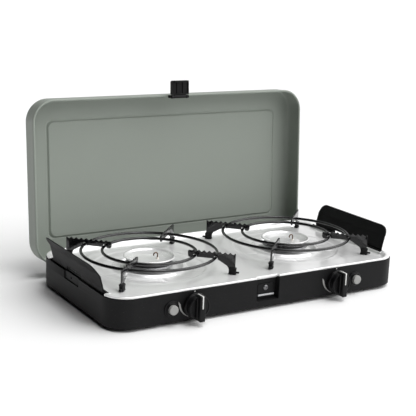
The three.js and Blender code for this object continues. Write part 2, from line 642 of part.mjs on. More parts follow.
function igniterBezel(x) {
  return turned([
    [BUTTON_RADIUS + SLIDING, FRONT - 3.5], [10.6, FRONT - 3.5], [11.8, FRONT - 2.4], [11.8, FRONT - TOUCH],
    [9.5, FRONT - TOUCH], [9.5, SLEEVE_BACK], [BUTTON_RADIUS + SLIDING, SLEEVE_BACK],
    [BUTTON_RADIUS + SLIDING, FRONT - 3.5],
  ], 'y', x, 0, IGNITER_Z, 20);
}
function igniterButton(x) {
  return turned([
    [0, BUTTON_FRONT], [BUTTON_RADIUS - 1, BUTTON_FRONT], [BUTTON_RADIUS, BUTTON_FRONT + 1],
    [BUTTON_RADIUS, FRONT + 0.5], [PLUNGER, FRONT + 0.5], [PLUNGER, FRONT + 16], [0, FRONT + 16],
  ], 'y', x, 0, IGNITER_Z, 20);
}
function piezoUnit(x) {
  return turned([
    [PLUNGER + SLIDING, PIEZO_FRONT], [8, PIEZO_FRONT], [8, PIEZO_BACK - 6], [4, PIEZO_BACK - 4],
    [4, PIEZO_BACK], [0, PIEZO_BACK], [0, FRONT + 16 + BUTTON_TRAVEL + 1],
    [PLUNGER + SLIDING, FRONT + 16 + BUTTON_TRAVEL + 1], [PLUNGER + SLIDING, PIEZO_FRONT],
  ], 'y', x, 0, IGNITER_Z);
}

// Spark lead from the back of the piezo unit, under the mixing tube, up to the electrode.
function ignitionLead(sign) {
  const from = sign * IGNITER_X;
  const to = sign * BURNER_X + ELECTRODE_OFFSET;
  const y = BURNER_Y - 4;
  const mix = (share) => from + (to - from) * share;
  return wire([
    [from, PIEZO_BACK + TOUCH, IGNITER_Z], [from, PIEZO_BACK + 10, 23], [mix(0.12), -58, 14],
    [mix(0.5), -34, 10.5], [mix(0.9), -14, 10.5], [to, y - 4, 13.5], [to, y, 18], [to, y, 24 - TOUCH],
  ], 1.2, 6, 26);
}

for (const { name, sign } of SIDES) {
  const x = sign * IGNITER_X;
  place(stove, `igniter_bezel_${name}`, igniterBezel(x), blackPlastic);
  place(stove, `igniter_button_${name}`, igniterButton(x), greyPlastic);
  place(stove, `piezo_unit_${name}`, piezoUnit(x), blackPlastic);
  place(stove, `ignition_lead_${name}`, ignitionLead(sign), leadRubber);
}

// ---- Catch in the latch pocket -----------------------------------------------------------
const CATCH_Y = FRONT + POCKET_DEPTH - TOUCH;
const LATCH_TOE = 3; // depth of the hook at the lever's tip
const CATCH_Z = LID_RIM - LATCH_DROP - LATCH_LENGTH + LATCH_TOE + 0.4; // underside of the bar
const CATCH_BAR = 2.8;
const CATCH_HALF = 14.5;
const CATCH_SCREW_Z = BODY_TOP - 16;
const CATCH_SCREW_HOLE = 2.2;

function catchPlate() {
  const plate = box(-CATCH_HALF, CATCH_HALF, CATCH_Y - 1.2, CATCH_Y, CATCH_Z + 1, CATCH_SCREW_Z + 6);
  const bar = box(-CATCH_HALF, CATCH_HALF, CATCH_Y - 3.6, CATCH_Y, CATCH_Z, CATCH_Z + CATCH_BAR);
  return cut(joined(plate, bar), rod(CATCH_SCREW_HOLE, -3, 3, 'y', 0, CATCH_Y, CATCH_SCREW_Z, 16));
}
place(stove, 'catch_plate', catchPlate(), zincSteel);

function catchScrew() {
  const face = CATCH_Y - 1.2 - TOUCH;
  return cut(
    turned([[0, face - 1.6], [3.2, face - 1.6], [4, face - 0.8], [4, face], [1.8, face], [1.8, CATCH_Y - 0.1],
      [0, CATCH_Y - 0.1]], 'y', 0, 0, CATCH_SCREW_Z, 14),
    rod(1.5, face - 2, face - 0.6, 'y', 0, 0, CATCH_SCREW_Z, 6),
  );
}
place(stove, 'catch_screw', catchScrew(), zincSteel);

// ---- Lid ---------------------------------------------------------------------------------
// Everything on the lid is drawn with the lid closed, in a group that turns about the hinge.
const lid = new THREE.Group();
const lidDrawing = new THREE.Group();
lid.position.set(0, HINGE_Y, HINGE_Z);
lid.rotation.x = -rad(LID_OPEN);
lidDrawing.position.set(0, -HINGE_Y, -HINGE_Z);
lid.add(lidDrawing);
stove.add(lid);

const LID_DRAW = 7; // rounding between the lid's top and its walls
const LID_HEM = 2;
const LID_TOP = LID_RIM + LID_DEPTH;
const PANEL_HALF_X = 217;
const PANEL_HALF_Y = 95;
const GROOVE_HALF = 2;

// A shallow box with its top edge rounded, made by a bevelled extrusion cut off at the rim.
function dome(inset, top, round) {
  const flat = roundedRect(LID_WIDTH / 2 - inset - round, HALF_DEPTH - inset - round,
    CORNER_RADIUS - inset - round);
  const geometry = new THREE.ExtrudeGeometry(flat, {
    depth: top - LID_RIM, bevelEnabled: true, bevelThickness: round, bevelSize: round,
    bevelSegments: 3, curveSegments: 4,
  });
  const whole = solid(geometry, alongZ(LID_RIM - round));
  return whole.subtract(box(-HALF_WIDTH, HALF_WIDTH, -HALF_DEPTH, HALF_DEPTH, LID_RIM - 2 * round, LID_RIM));
}

function lidShell() {
  const hemHeight = 3;
  const outer = dome(0, LID_TOP, LID_DRAW);
  const inner = dome(LID_SHEET, LID_TOP - LID_SHEET, LID_DRAW - LID_SHEET)
    .subtract(hemBand(hemHeight));
  const mouth = prismZ(roundedRect(LID_WIDTH / 2 - LID_SHEET - LID_HEM, HALF_DEPTH - LID_SHEET - LID_HEM,
    CORNER_RADIUS - LID_SHEET - LID_HEM), LID_RIM - 1, LID_RIM + hemHeight + 1);
  const latchGap = box(-POCKET_WIDTH / 2, POCKET_WIDTH / 2, FRONT + LID_SHEET, FRONT + 8,
    LID_RIM - 1, LID_RIM + hemHeight + 1);
  const groove = (grow) => roundedRect(PANEL_HALF_X + grow, PANEL_HALF_Y + grow, 10 + grow);
  const bead = (grow, z0, z1) => cut(prismZ(groove(grow), z0, z1, 2), prismZ(groove(-grow), z0 - 1, z1 + 1, 2));
  return cut(
    outer,
    inner,
    mouth,
    latchGap,
    bead(GROOVE_HALF, LID_TOP - LID_SHEET - 1, LID_TOP - LID_SHEET + 0.4),
  );
}
// The band of space that the rolled hem fills, just inside the rim.
// The rear wall has none, so that the lid swings clear of the tray.
function hemBand(height) {
  return box(-HALF_WIDTH, HALF_WIDTH, FRONT, HALF_DEPTH - CORNER_RADIUS, LID_RIM - 1, LID_RIM + height);
}
place(lidDrawing, 'lid_shell', lidShell(), sagePaint);

// ---- Latch -------------------------------------------------------------------------------
const PIN_Y = FRONT + 2.5;
const PIN_Z = LID_RIM - LATCH_DROP;
const KNUCKLE = 2.6;
const EAR = 5;

function latchBracket() {
  const half = LATCH_WIDTH / 2;
  const y0 = FRONT + LID_SHEET + TOUCH;
  const ear = (x0) => rod(KNUCKLE, x0, x0 + EAR, 'x', 0, PIN_Y, PIN_Z, 16);
  const leg = (x0) => box(x0, x0 + EAR, y0, y0 + 1.5, PIN_Z, LID_RIM + 2);
  return cut(
    joined(box(-half, half, y0, y0 + 1.5, LID_RIM - 3, LID_RIM + 11), leg(-half), leg(half - EAR),
      ear(-half), ear(half - EAR)),
    rod(LATCH_PIN + RUNNING, -half - 1, half + 1, 'x', 0, PIN_Y, PIN_Z, 16),
  );
}
place(lidDrawing, 'latch_bracket', latchBracket(), blackPlastic);

function latchPin() {
  const half = LATCH_WIDTH / 2;
  return rod(LATCH_PIN, -half, half, 'x', 0, PIN_Y, PIN_Z, 16);
}
place(lidDrawing, 'latch_pin', latchPin(), zincSteel);

// The lever hangs down here, hooked under the catch; its group turns it out to point forwards.
const lever = new THREE.Group();
const leverDrawing = new THREE.Group();
lever.position.set(0, PIN_Y, PIN_Z);
lever.rotation.x = -Math.PI / 2;
leverDrawing.position.set(0, -PIN_Y, -PIN_Z);
lever.add(leverDrawing);
lidDrawing.add(lever);

function latchLever() {
  const half = LATCH_WIDTH / 2;
  const tip = PIN_Z - LATCH_LENGTH;
  const front = FRONT - 1.4;
  const back = PIN_Y + 2.2;
  const barrelHalf = half - EAR - TOUCH;
  const top = PIN_Z - KNUCKLE - 0.6;
  const plate = prismY(roundedRect(half, (top - tip) / 2, 3, 0, (top + tip) / 2), front + 1, back, 2);
  const ribs = [-9, 9].map((x) => prismY(
    roundedRect(3.6, (top - tip) / 2 - 0.6, 1.6, x, (top + tip) / 2), front, front + 2, 1));
  const knuckle = joined(
    rod(KNUCKLE, -barrelHalf, barrelHalf, 'x', 0, PIN_Y, PIN_Z, 16),
    box(-barrelHalf, barrelHalf, PIN_Y - 1.6, PIN_Y + 1.6, top - 1, PIN_Z),
  );
  const toe = prismX(outline([
    [back - 1, tip], [back + 2.2, tip + 0.6], [back + 2.4, tip + 1.8], [back - 1, tip + LATCH_TOE],
  ]), -12, 12);
  return cut(
    joined(plate, ...ribs, knuckle, toe),
    rod(LATCH_PIN + RUNNING, -half, half, 'x', 0, PIN_Y, PIN_Z, 16),
  );
}
place(leverDrawing, 'latch_lever', latchLever(), blackPlastic);

// ---- Lid hinges --------------------------------------------------------------------------
const HINGE_EYE = 4.4;

function hingeArm(x) {
  const half = HINGE_WIDTH / 2;
  const outer = HINGE_Y + HINGE_REACH;
  const inner = outer - HINGE_STRAP;
  const strap = prismX(outline([
    [HINGE_Y, HINGE_Z - HINGE_STRAP / 2 - 1], [outer, HINGE_Z - HINGE_STRAP / 2 - 1],
    [outer, LID_RIM + 20], [inner, LID_RIM + 20], [inner, HINGE_Z + HINGE_STRAP / 2 - 1],
    [HINGE_Y, HINGE_Z + HINGE_STRAP / 2 - 1],
  ]), x - half, x + half);
  const eye = rod(HINGE_EYE, -half, half, 'x', x, HINGE_Y, HINGE_Z);
  return cut(joined(strap, eye), rod(HINGE_PIN + RUNNING, -half - 1, half + 1, 'x', x, HINGE_Y, HINGE_Z));
}

function hingeBracket(x) {
  const gap = HINGE_WIDTH / 2 + TOUCH;
  const ear = 2;
  const front = HINGE_Y - 9;
  const back = HALF_DEPTH - BODY_SHEET - TOUCH;
  const tall = [18, 42];
  const web = box(x - gap - ear, x + gap + ear, front, front + ear, ...tall);
  const ears = [-1, 1].map((sign) => {
    const x0 = x + sign * (gap + ear / 2) - ear / 2;
    return box(x0, x0 + ear, front, back, ...tall);
  });
  const flanges = [-1, 1].map((sign) => {
    const x0 = sign < 0 ? x - gap - ear - 7 : x + gap;
    return box(x0, x0 + ear + 7, back - ear, back, ...tall);
  });
  return cut(joined(web, ...ears, ...flanges),
    rod(HINGE_PIN + RUNNING, -20, 20, 'x', x, HINGE_Y, HINGE_Z));
}

function hingePin(x) {
  const end = HINGE_WIDTH / 2 + TOUCH + 2 + TOUCH;
  return turned([
    [0, -end - 1.5], [3.2, -end - 1.5], [3.2, -end], [HINGE_PIN, -end], [HINGE_PIN, end], [3.2, end],
    [3.2, end + 1.5], [0, end + 1.5],
  ], 'x', x, HINGE_Y, HINGE_Z);
}

for (const { name, sign } of SIDES) {
  const x = sign * HINGE_X;
  place(lidDrawing, `lid_hinge_arm_${name}`, hingeArm(x), zincSteel);
  place(stove, `lid_hinge_bracket_${name}`, hingeBracket(x), zincSteel);
  place(stove, `lid_hinge_pin_${name}`, hingePin(x), zincSteel);
}

// ---- Windshields -------------------------------------------------------------------------
// Drawn for the right-hand side, leaning outwards, then mirrored for the left.
function shieldSection() {
  const lean = (degrees, length) => [length * Math.sin(rad(degrees)), length * Math.cos(rad(degrees))];
  const fold = lean(SHIELD_PANEL_LEAN, SHIELD_PANEL);
  const edge = lean(SHIELD_LIP_LEAN, SHIELD_LIP);
  const across = (degrees) => [SHIELD_SHEET * Math.cos(rad(degrees)), -SHIELD_SHEET * Math.sin(rad(degrees))];
  const panelSide = across(SHIELD_PANEL_LEAN);
  const foldSide = across((SHIELD_PANEL_LEAN + SHIELD_LIP_LEAN) / 2);
  const lipSide = across(SHIELD_LIP_LEAN);
  const at = ([dx, dz]) => [SHIELD_X + dx, SHIELD_Z + dz];
  return outline([
    at([0, 0]), at(panelSide), at([fold[0] + foldSide[0], fold[1] + foldSide[1]]),
    at([fold[0] + edge[0] + lipSide[0], fold[1] + edge[1] + lipSide[1]]),
    at([fold[0] + edge[0], fold[1] + edge[1]]), at(fold),
  ]);
}

function shieldFace() {
  const top = SHIELD_Z + SHIELD_PANEL + SHIELD_LIP;
  const high = top - 3.6;
  const r = SHIELD_CORNER;
  const back = 6;
  const face = new THREE.Shape();
  face.moveTo(SHIELD_FRONT, SHIELD_Z - 5);
  face.lineTo(SHIELD_BACK, SHIELD_Z - 5);
  face.lineTo(SHIELD_BACK, high - back);
  face.absarc(SHIELD_BACK - back, high - back, back, 0, Math.PI / 2, false);
  face.lineTo(SHIELD_FRONT + r, high);
  face.absarc(SHIELD_FRONT + r, high - r, r, Math.PI / 2, Math.PI, false);
  return face;
}

function windshield(sign) {
  const span = [SHIELD_FRONT - 1, SHIELD_BACK + 1];
  const sheet = prismY(shieldSection(), ...span);
  const barrel = rod(SHIELD_BARREL, ...span, 'y', SHIELD_X, 0, SHIELD_Z, 16);
  const window = box(SHIELD_X - 4, SHIELD_X + 8, SHIELD_WINDOW_FRONT, SHIELD_WINDOW_BACK,
    SHIELD_Z - 4, SHIELD_Z + 4.5);
  const whole = joined(sheet, barrel)
    .intersect(prismX(shieldFace(), SHIELD_X - 10, SHIELD_X + 40, 5));
  const right = cut(whole, window, rod(SHIELD_ROD + RUNNING, -120, 120, 'y', SHIELD_X, 0, SHIELD_Z, 16));
  return sign > 0 ? right : right.mirror([1, 0, 0]);
}

function windshieldRod(sign) {
  const y0 = SHIELD_FRONT - SHIELD_END;
  const y1 = SHIELD_BACK + SHIELD_END;
  const head = SHIELD_ROD_HEAD;
  return turned([
    [0, y0], [2, y0], [2, y0 + head], [SHIELD_ROD, y0 + head], [SHIELD_ROD, y1 - head], [2, y1 - head],
    [2, y1], [0, y1],
  ], 'y', sign * SHIELD_X, 0, SHIELD_Z, 16);
}

for (const { name, sign } of SIDES) {
  place(stove, `windshield_${name}`, windshield(sign), blackPaint);
  place(stove, `windshield_rod_${name}`, windshieldRod(sign), zincSteel);
}

// ---- Origin ------------------------------------------------------------------------------
const part = new THREE.Group();
part.add(stove);
part.updateMatrixWorld(true);
const bounds = new THREE.Box3().setFromObject(part, true);
const centre = bounds.getCenter(new THREE.Vector3());
stove.position.set(-centre.x, -centre.y, -bounds.min.z);

export default part;
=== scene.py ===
"""Looks of a two-burner camping stove: painted sheet-metal body and lid, bright pressed tray, enamelled
pan supports, burners, taps, igniters, latch and folding windshields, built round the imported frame."""

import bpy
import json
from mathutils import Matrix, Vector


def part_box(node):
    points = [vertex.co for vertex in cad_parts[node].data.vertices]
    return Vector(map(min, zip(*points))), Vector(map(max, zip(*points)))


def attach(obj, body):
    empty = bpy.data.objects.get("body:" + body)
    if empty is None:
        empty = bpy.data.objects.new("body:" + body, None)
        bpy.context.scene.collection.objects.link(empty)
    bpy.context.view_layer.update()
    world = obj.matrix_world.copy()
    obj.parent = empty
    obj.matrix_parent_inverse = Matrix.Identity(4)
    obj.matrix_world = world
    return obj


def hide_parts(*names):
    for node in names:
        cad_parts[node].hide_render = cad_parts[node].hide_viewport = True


bl_info = {
    "name": "Camping Stove",
    "version": (1, 0, 0),
    "blender": (4, 5, 0),
    "location": "3D View > Sidebar > Stove",
    "description": "Builds the visible pieces and finishes of a two-burner camping stove",
    "category": "Add Mesh",
}

import json
import math

import bmesh
import bpy
import numpy as np
from bpy.props import FloatProperty, FloatVectorProperty, PointerProperty
from mathutils import Matrix, Vector

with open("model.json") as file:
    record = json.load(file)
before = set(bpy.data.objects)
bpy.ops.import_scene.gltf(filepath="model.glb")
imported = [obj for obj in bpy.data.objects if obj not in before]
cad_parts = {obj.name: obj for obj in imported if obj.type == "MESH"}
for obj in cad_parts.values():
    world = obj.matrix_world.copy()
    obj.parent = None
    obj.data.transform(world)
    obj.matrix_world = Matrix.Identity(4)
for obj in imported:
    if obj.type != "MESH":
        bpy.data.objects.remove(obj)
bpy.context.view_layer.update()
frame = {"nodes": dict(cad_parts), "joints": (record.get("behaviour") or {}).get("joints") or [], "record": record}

# ---- Places taken from the frame ---------------------------------------------------------
# Pieces are drawn in millimetres about the middle of the stove's body, and moved to the frame at the end.
MM = 0.001
TAU = 2 * math.pi


def frame_box(node):
    low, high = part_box(node)
    return np.array(low) / MM, np.array(high) / MM


BODY_LOW, BODY_HIGH = frame_box("body_shell")
MIDDLE_Y = (BODY_LOW[1] + BODY_HIGH[1]) / 2
MIDDLE = np.array([0, MIDDLE_Y, 0])


def stove_box(node):
    """Lowest and highest corners of a frame node, in millimetres about the middle of the body."""
    low, high = frame_box(node)
    return low - MIDDLE, high - MIDDLE


def middle_of(node):
    low, high = stove_box(node)
    return (low + high) / 2


JOINTS = {joint["name"]: joint for joint in frame["joints"]}


def pivot_of(joint):
    """A joint's axis as y and z in millimetres about the middle of the body, with its x kept first."""
    return np.array(JOINTS[joint]["pos_m"]) / MM - MIDDLE


HALF_X = (BODY_HIGH[0] - BODY_LOW[0]) / 2
HALF_Y = (BODY_HIGH[1] - BODY_LOW[1]) / 2
CORNER = 36
BODY_BOTTOM = BODY_LOW[2]
TRAY_TOP = stove_box("cooking_tray")[1][2]
BODY_TOP = TRAY_TOP - 3.3
FLOOR_TOP = TRAY_TOP - 5.3  # the tray's cooking floor
SHEET = 1.2
POCKET_HALF = 19
POCKET_DEPTH = 9
POCKET_BOTTOM = BODY_BOTTOM + 10
HINGE = pivot_of("lid_hinge")
LID_OPEN = JOINTS["lid_hinge"]["range_deg"][1]
LID_RIM = TRAY_TOP + 0.5
SIDES = (("left", -1), ("right", 1))


# ---- Surfaces ----------------------------------------------------------------------------
def loft(rings, loop=False):
    """Quads between closed outlines that follow one another. The first and last are closed by flat
    faces, or joined to each other when loop is set."""
    rings = np.asarray(rings, float)
    rows, count = rings.shape[:2]
    index = np.arange(rows * count).reshape(rows, count)
    low = index if loop else index[:-1]
    high = np.roll(index, -1, axis=0) if loop else index[1:]
    quads = np.stack([low, np.roll(low, -1, axis=1), np.roll(high, -1, axis=1), high], axis=-1)
    faces = quads.reshape(-1, 4).tolist()
    if not loop:
        faces += [index[0][::-1].tolist(), index[-1].tolist()]
    return rings.reshape(-1, 3), faces


def grid(points, keep=None):
    """Quads of an open sheet of rows by columns; keep is true for the cells that stay."""
    rows, columns = points.shape[:2]
    index = np.arange(rows * columns).reshape(rows, columns)
    quads = np.stack([index[:-1, :-1], index[:-1, 1:], index[1:, 1:], index[1:, :-1]], axis=-1)
    if keep is not None:
        quads = quads[keep]
    return points.reshape(-1, 3), quads.reshape(-1, 4).tolist()


def along(axis, across, up, depth):
    """Stacks an outline's two coordinates and a depth so that the depth runs along x, y or z."""
    across, up, depth = np.broadcast_arrays(across, up, depth)
    order = {"z": (across, up, depth), "y": (across, depth, up), "x": (depth, across, up)}[axis]
    return np.stack(order, axis=-1)


def filleted(corners, radii, steps=4, closed=True):
    """An outline whose corners become arcs tangent to the two sides that meet there. Each arc goes
    from tangent point to tangent point as a weighted sum of the two radii, with sine weights."""
    corners = np.asarray(corners, float)
    ends = () if closed else (corners[:1], corners[-1:])
    radii = np.broadcast_to(np.asarray(radii, float), len(corners))
    before = np.roll(corners, 1, axis=0) - corners
    after = np.roll(corners, -1, axis=0) - corners
    if not closed:
        corners, radii, before, after = corners[1:-1], radii[1:-1], before[1:-1], after[1:-1]
    before = before / np.linalg.norm(before, axis=1, keepdims=True)
    after = after / np.linalg.norm(after, axis=1, keepdims=True)
    half = np.arccos(np.clip((before * after).sum(axis=1), -1, 1)) / 2
    middle = before + after
    middle = middle / np.linalg.norm(middle, axis=1, keepdims=True)
    centre = corners + middle * (radii / np.sin(half))[:, None]
    reach = (radii / np.tan(half))[:, None]
    first = corners + before * reach - centre
    last = corners + after * reach - centre
    sweep = (math.pi - 2 * half)[:, None]
    share = np.linspace(0, 1, steps + 1)[None, :]
    first_weight = np.sin((1 - share) * sweep) / np.sin(sweep)
    last_weight = np.sin(share * sweep) / np.sin(sweep)
    points = (centre[:, None] + first[:, None] * first_weight[..., None]
              + last[:, None] * last_weight[..., None]).reshape(-1, 2)
    return points if closed else np.concatenate([ends[0], points, ends[1]])


def turned(profile, centre=(0, 0, 0), axis="z", segments=72, loop=False):
    """A profile of radius and height carried once round an axis through centre."""
    profile = np.asarray(profile, float)
    angle = np.linspace(0, TAU, segments, endpoint=False)[None, :]
    radius, height = profile[:, :1], profile[:, 1:]
    return loft(along(axis, radius * np.cos(angle), radius * np.sin(angle), height) + centre, loop)


def rectangle_rings(half_x, half_y, radius, steps=10):
    """Rounded rectangles, one for each value in half_x, half_y and radius: each point is a corner's
    centre plus the radius at its angle, a quarter turn to a corner."""
    half_x, half_y, radius = (np.atleast_1d(np.asarray(v, float))[:, None] for v in (half_x, half_y, radius))
    quarter = np.linspace(-math.pi / 2, 0, steps + 1)
    angle = (quarter[None, :] + np.arange(4)[:, None] * math.pi / 2).reshape(1, -1)
    side_x = np.repeat([1, 1, -1, -1], steps + 1)[None, :]
    side_y = np.repeat([-1, 1, 1, -1], steps + 1)[None, :]
    x = side_x * (half_x - radius) + radius * np.cos(angle)
    y = side_y * (half_y - radius) + radius * np.sin(angle)
    return x, y


def rounded_ends(low, high, edge, steps=4):
    """Depths from low to high, and how far the outline is drawn in at each, along a quarter circle."""
    quarter = np.linspace(0, math.pi / 2, steps + 1)
    rise = edge * (1 - np.cos(quarter))
    inset = edge * (1 - np.sin(quarter))
    return np.concatenate([low + rise, high - rise[::-1]]), np.concatenate([inset, inset[::-1]])


def block(centre, half, corner, low, high, edge, axis="z", steps=6):
    """A rounded rectangle given depth, with its end edges rounded too."""
    depth, inset = rounded_ends(low, high, edge)
    x, y = rectangle_rings(half[0] - inset, half[1] - inset, np.maximum(corner - inset, 0.05), steps)
    return loft(along(axis, x + centre[0], y + centre[1], depth[:, None]))


def slab(outline, low, high, edge, axis="z", steps=3):
    """Any anticlockwise outline given depth; near both ends it is drawn in along its own normals."""
    side = np.roll(outline, -1, axis=0) - np.roll(outline, 1, axis=0)
    normal = np.stack([side[:, 1], -side[:, 0]], axis=-1)
    normal = normal / np.linalg.norm(normal, axis=1, keepdims=True)
    depth, inset = rounded_ends(low, high, edge, steps)
    drawn = outline[None] - normal[None] * inset[:, None, None]
    return loft(along(axis, drawn[..., 0], drawn[..., 1], depth[:, None]))


def tube(path, radius, plane, sides=14, loop=False):
    """A round wire along a flat path: circles spanned by the plane's normal and the path's own."""
    path = np.asarray(path, float)
    plane = np.asarray(plane, float)
    if loop:
        heading = np.roll(path, -1, axis=0) - np.roll(path, 1, axis=0)
    else:
        heading = np.gradient(path, axis=0)
    heading = heading / np.linalg.norm(heading, axis=1, keepdims=True)
    beside = np.cross(heading, plane)
    angle = np.linspace(0, TAU, sides, endpoint=False)[None, :, None]
    radius = np.broadcast_to(np.asarray(radius, float), len(path))[:, None, None]
    rings = path[:, None] + radius * (np.cos(angle) * beside[:, None] + np.sin(angle) * plane)
    return loft(rings, loop)


def smooth(low, high, value):
    """0 below low, 1 above high, and an S-shaped rise between."""
    share = np.clip((value - low) / (high - low), 0, 1)
    return share * share * (3 - 2 * share)


def outline_at(stations, half_x, half_y, radius):
    """Points and outward normals of a rounded rectangle at distances along it. The distance starts
    at the middle of the front and runs anticlockwise over straights and quarter circles in turn."""
    flat_x, flat_y, arc = half_x - radius, half_y - radius, radius * math.pi / 2
    lengths = [flat_x, arc, 2 * flat_y, arc, 2 * flat_x, arc, 2 * flat_y, arc, flat_x]
    starts = np.concatenate([[0], np.cumsum(lengths)])
    part = np.clip(np.searchsorted(starts, stations, side="right") - 1, 0, 8)
    run = stations - starts[part]
    curved = part % 2 == 1
    heading = (part // 2) * math.pi / 2 + np.where(curved, run / radius, 0)
    normal = np.stack([np.sin(heading), -np.cos(heading)], axis=-1)
    corner_x = flat_x * np.array([0, 1, 1, 1, 1, -1, -1, -1, -1])[part]
    corner_y = flat_y * np.array([0, -1, -1, 1, 1, 1, 1, -1, -1])[part]
    forward = np.stack([np.cos(heading), np.sin(heading)], axis=-1)
    start_x = np.array([0, 0, half_x, 0, flat_x, 0, -half_x, 0, -flat_x])[part]
    start_y = np.array([-half_y, 0, -flat_y, 0, half_y, 0, flat_y, 0, -half_y])[part]
    straight = np.stack([start_x, start_y], axis=-1) + forward * run[:, None]
    round_part = np.stack([corner_x, corner_y], axis=-1) + normal * radius
    return np.where(curved[:, None], round_part, straight), normal, starts


def turned_about_x(points, degrees, pivot):
    """Points turned about an axis along x through the pivot's y and z."""
    angle = math.radians(degrees)
    y, z = points[..., 1] - pivot[1], points[..., 2] - pivot[2]
    return np.stack([points[..., 0], pivot[1] + y * math.cos(angle) - z * math.sin(angle),
                     pivot[2] + y * math.sin(angle) + z * math.cos(angle)], axis=-1)


def turned_about_z(points, degrees, centre):
    angle = math.radians(degrees)
    x, y = points[..., 0], points[..., 1]
    return np.stack([centre[0] + x * math.cos(angle) - y * math.sin(angle),
                     centre[1] + x * math.sin(angle) + y * math.cos(angle), points[..., 2]], axis=-1)


def changed(surface, change):
    return change(surface[0]), surface[1]


def mirrored(surface):
    """The same surface on the other side of x = 0, with its faces turned back outwards."""
    points, faces = surface
    return points * np.array([-1, 1, 1]), [face[::-1] for face in faces]


# ---- Making pieces -----------------------------------------------------------------------
def make_piece(name, surfaces, finish, body, replaces=(), sharp=38, closed=True):
    """One mesh object from a list of surfaces: shared points are merged, closed surfaces face
    outwards, and edges steeper than the sharp angle keep their crease."""
    vertices, faces, count = [], [], 0
    for points, polygons in surfaces:
        vertices.append(points)
        faces += [[corner + count for corner in polygon] for polygon in polygons]
        count += len(points)
    mesh = bpy.data.meshes.new(name)
    mesh.from_pydata(((np.concatenate(vertices) + MIDDLE) * MM).tolist(), [], faces)
    sculpt = bmesh.new()
    sculpt.from_mesh(mesh)
    bmesh.ops.remove_doubles(sculpt, verts=sculpt.verts, dist=2e-6)
    if closed:
        bmesh.ops.recalc_face_normals(sculpt, faces=sculpt.faces)
    sculpt.to_mesh(mesh)
    sculpt.free()
    mesh.shade_smooth()
    mesh.set_sharp_from_angle(angle=math.radians(sharp))
    mesh.materials.append(finish)
    piece = bpy.data.objects.new(name, mesh)
    bpy.context.scene.collection.objects.link(piece)
    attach(piece, body)
    if replaces:
        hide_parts(*replaces)
    return piece


def thicken(piece, thickness, offset=-1.0):
    wall = piece.modifiers.new("Sheet thickness", "SOLIDIFY")
    wall.thickness = thickness * MM
    wall.offset = offset
    wall.use_even_offset = True
    wall.use_quality_normals = True


def finish_nodes(names, finish):
    """Gives frame nodes that keep their own shape a finish."""
    for name in names:
        for material_slot in frame["nodes"][name].material_slots:
            material_slot.material = finish


# ---- Shader groups -----------------------------------------------------------------------
def new_group(name, inputs, outputs):
    group = bpy.data.node_groups.new(name, "ShaderNodeTree")
    for label, default in inputs:
        socket = group.interface.new_socket(label, in_out="INPUT", socket_type="NodeSocketFloat")
        socket.default_value = default
    for label in outputs:
        group.interface.new_socket(label, in_out="OUTPUT", socket_type="NodeSocketFloat")
    return group, group.nodes.new("NodeGroupInput"), group.nodes.new("NodeGroupOutput")


def math_node(tree, operation, first, second=0.0, clamp=False):
    node = tree.nodes.new("ShaderNodeMath")
    node.operation = operation
    node.use_clamp = clamp
    for socket, value in zip(node.inputs, (first, second)):
        if hasattr(value, "is_linked"):
            tree.links.new(value, socket)
        else:
            socket.default_value = value
    return node.outputs[0]


def noise_node(tree, coordinates, scale, detail, roughness=0.5, distortion=0.0):
    node = tree.nodes.new("ShaderNodeTexNoise")
    node.inputs["Detail"].default_value = detail
    node.inputs["Roughness"].default_value = roughness
    node.inputs["Distortion"].default_value = distortion
    tree.links.new(coordinates, node.inputs["Vector"])
    if hasattr(scale, "is_linked"):
        tree.links.new(scale, node.inputs["Scale"])
    else:
        node.inputs["Scale"].default_value = scale
    return node.outputs["Fac"]


def coat_group():
    """Grain of a sprayed or moulded skin: fine bumps, soft clouds, and thin specks of dust."""
    group, inputs, outputs = new_group(
        "Coat", [("Grain Scale", 900.0), ("Cloud Scale", 9.0)], ["Grain", "Clouds", "Specks"])
    where = group.nodes.new("ShaderNodeTexCoord").outputs["Object"]
    fine = noise_node(group, where, inputs.outputs["Grain Scale"], 2.0, 0.55)
    clouds = noise_node(group, where, inputs.outputs["Cloud Scale"], 4.0, 0.5, 0.4)
    dust = noise_node(group, where, 520.0, 1.0)
    specks = math_node(group, "MULTIPLY", math_node(group, "SUBTRACT", dust, 0.66), 9.0, clamp=True)
    group.links.new(fine, outputs.inputs["Grain"])
    group.links.new(clouds, outputs.inputs["Clouds"])
    group.links.new(specks, outputs.inputs["Specks"])
    return group


def metal_group():
    """Marks on bare metal: rolling lines along x, soft clouds and hair-thin scratches."""
    group, inputs, outputs = new_group(
        "Bare Metal", [("Line Scale", 260.0), ("Cloud Scale", 12.0)], ["Lines", "Clouds", "Scratches"])
    where = group.nodes.new("ShaderNodeTexCoord").outputs["Object"]
    stretch = group.nodes.new("ShaderNodeMapping")
    stretch.inputs["Scale"].default_value = (0.04, 1.0, 1.0)
    group.links.new(where, stretch.inputs["Vector"])
    lines = noise_node(group, stretch.outputs["Vector"], inputs.outputs["Line Scale"], 3.0, 0.6)
    clouds = noise_node(group, where, inputs.outputs["Cloud Scale"], 3.0, 0.5, 0.6)
    turned_way = group.nodes.new("ShaderNodeMapping")
    turned_way.inputs["Rotation"].default_value = (0.0, 0.0, 0.7)
    turned_way.inputs["Scale"].default_value = (0.03, 1.0, 1.0)
    group.links.new(where, turned_way.inputs["Vector"])
    hair = noise_node(group, turned_way.outputs["Vector"], 900.0, 1.0)
    scratches = math_node(group, "MULTIPLY", math_node(group, "SUBTRACT", hair, 0.68), 12.0, clamp=True)
    group.links.new(lines, outputs.inputs["Lines"])
    group.links.new(clouds, outputs.inputs["Clouds"])
    group.links.new(scratches, outputs.inputs["Scratches"])
    return group


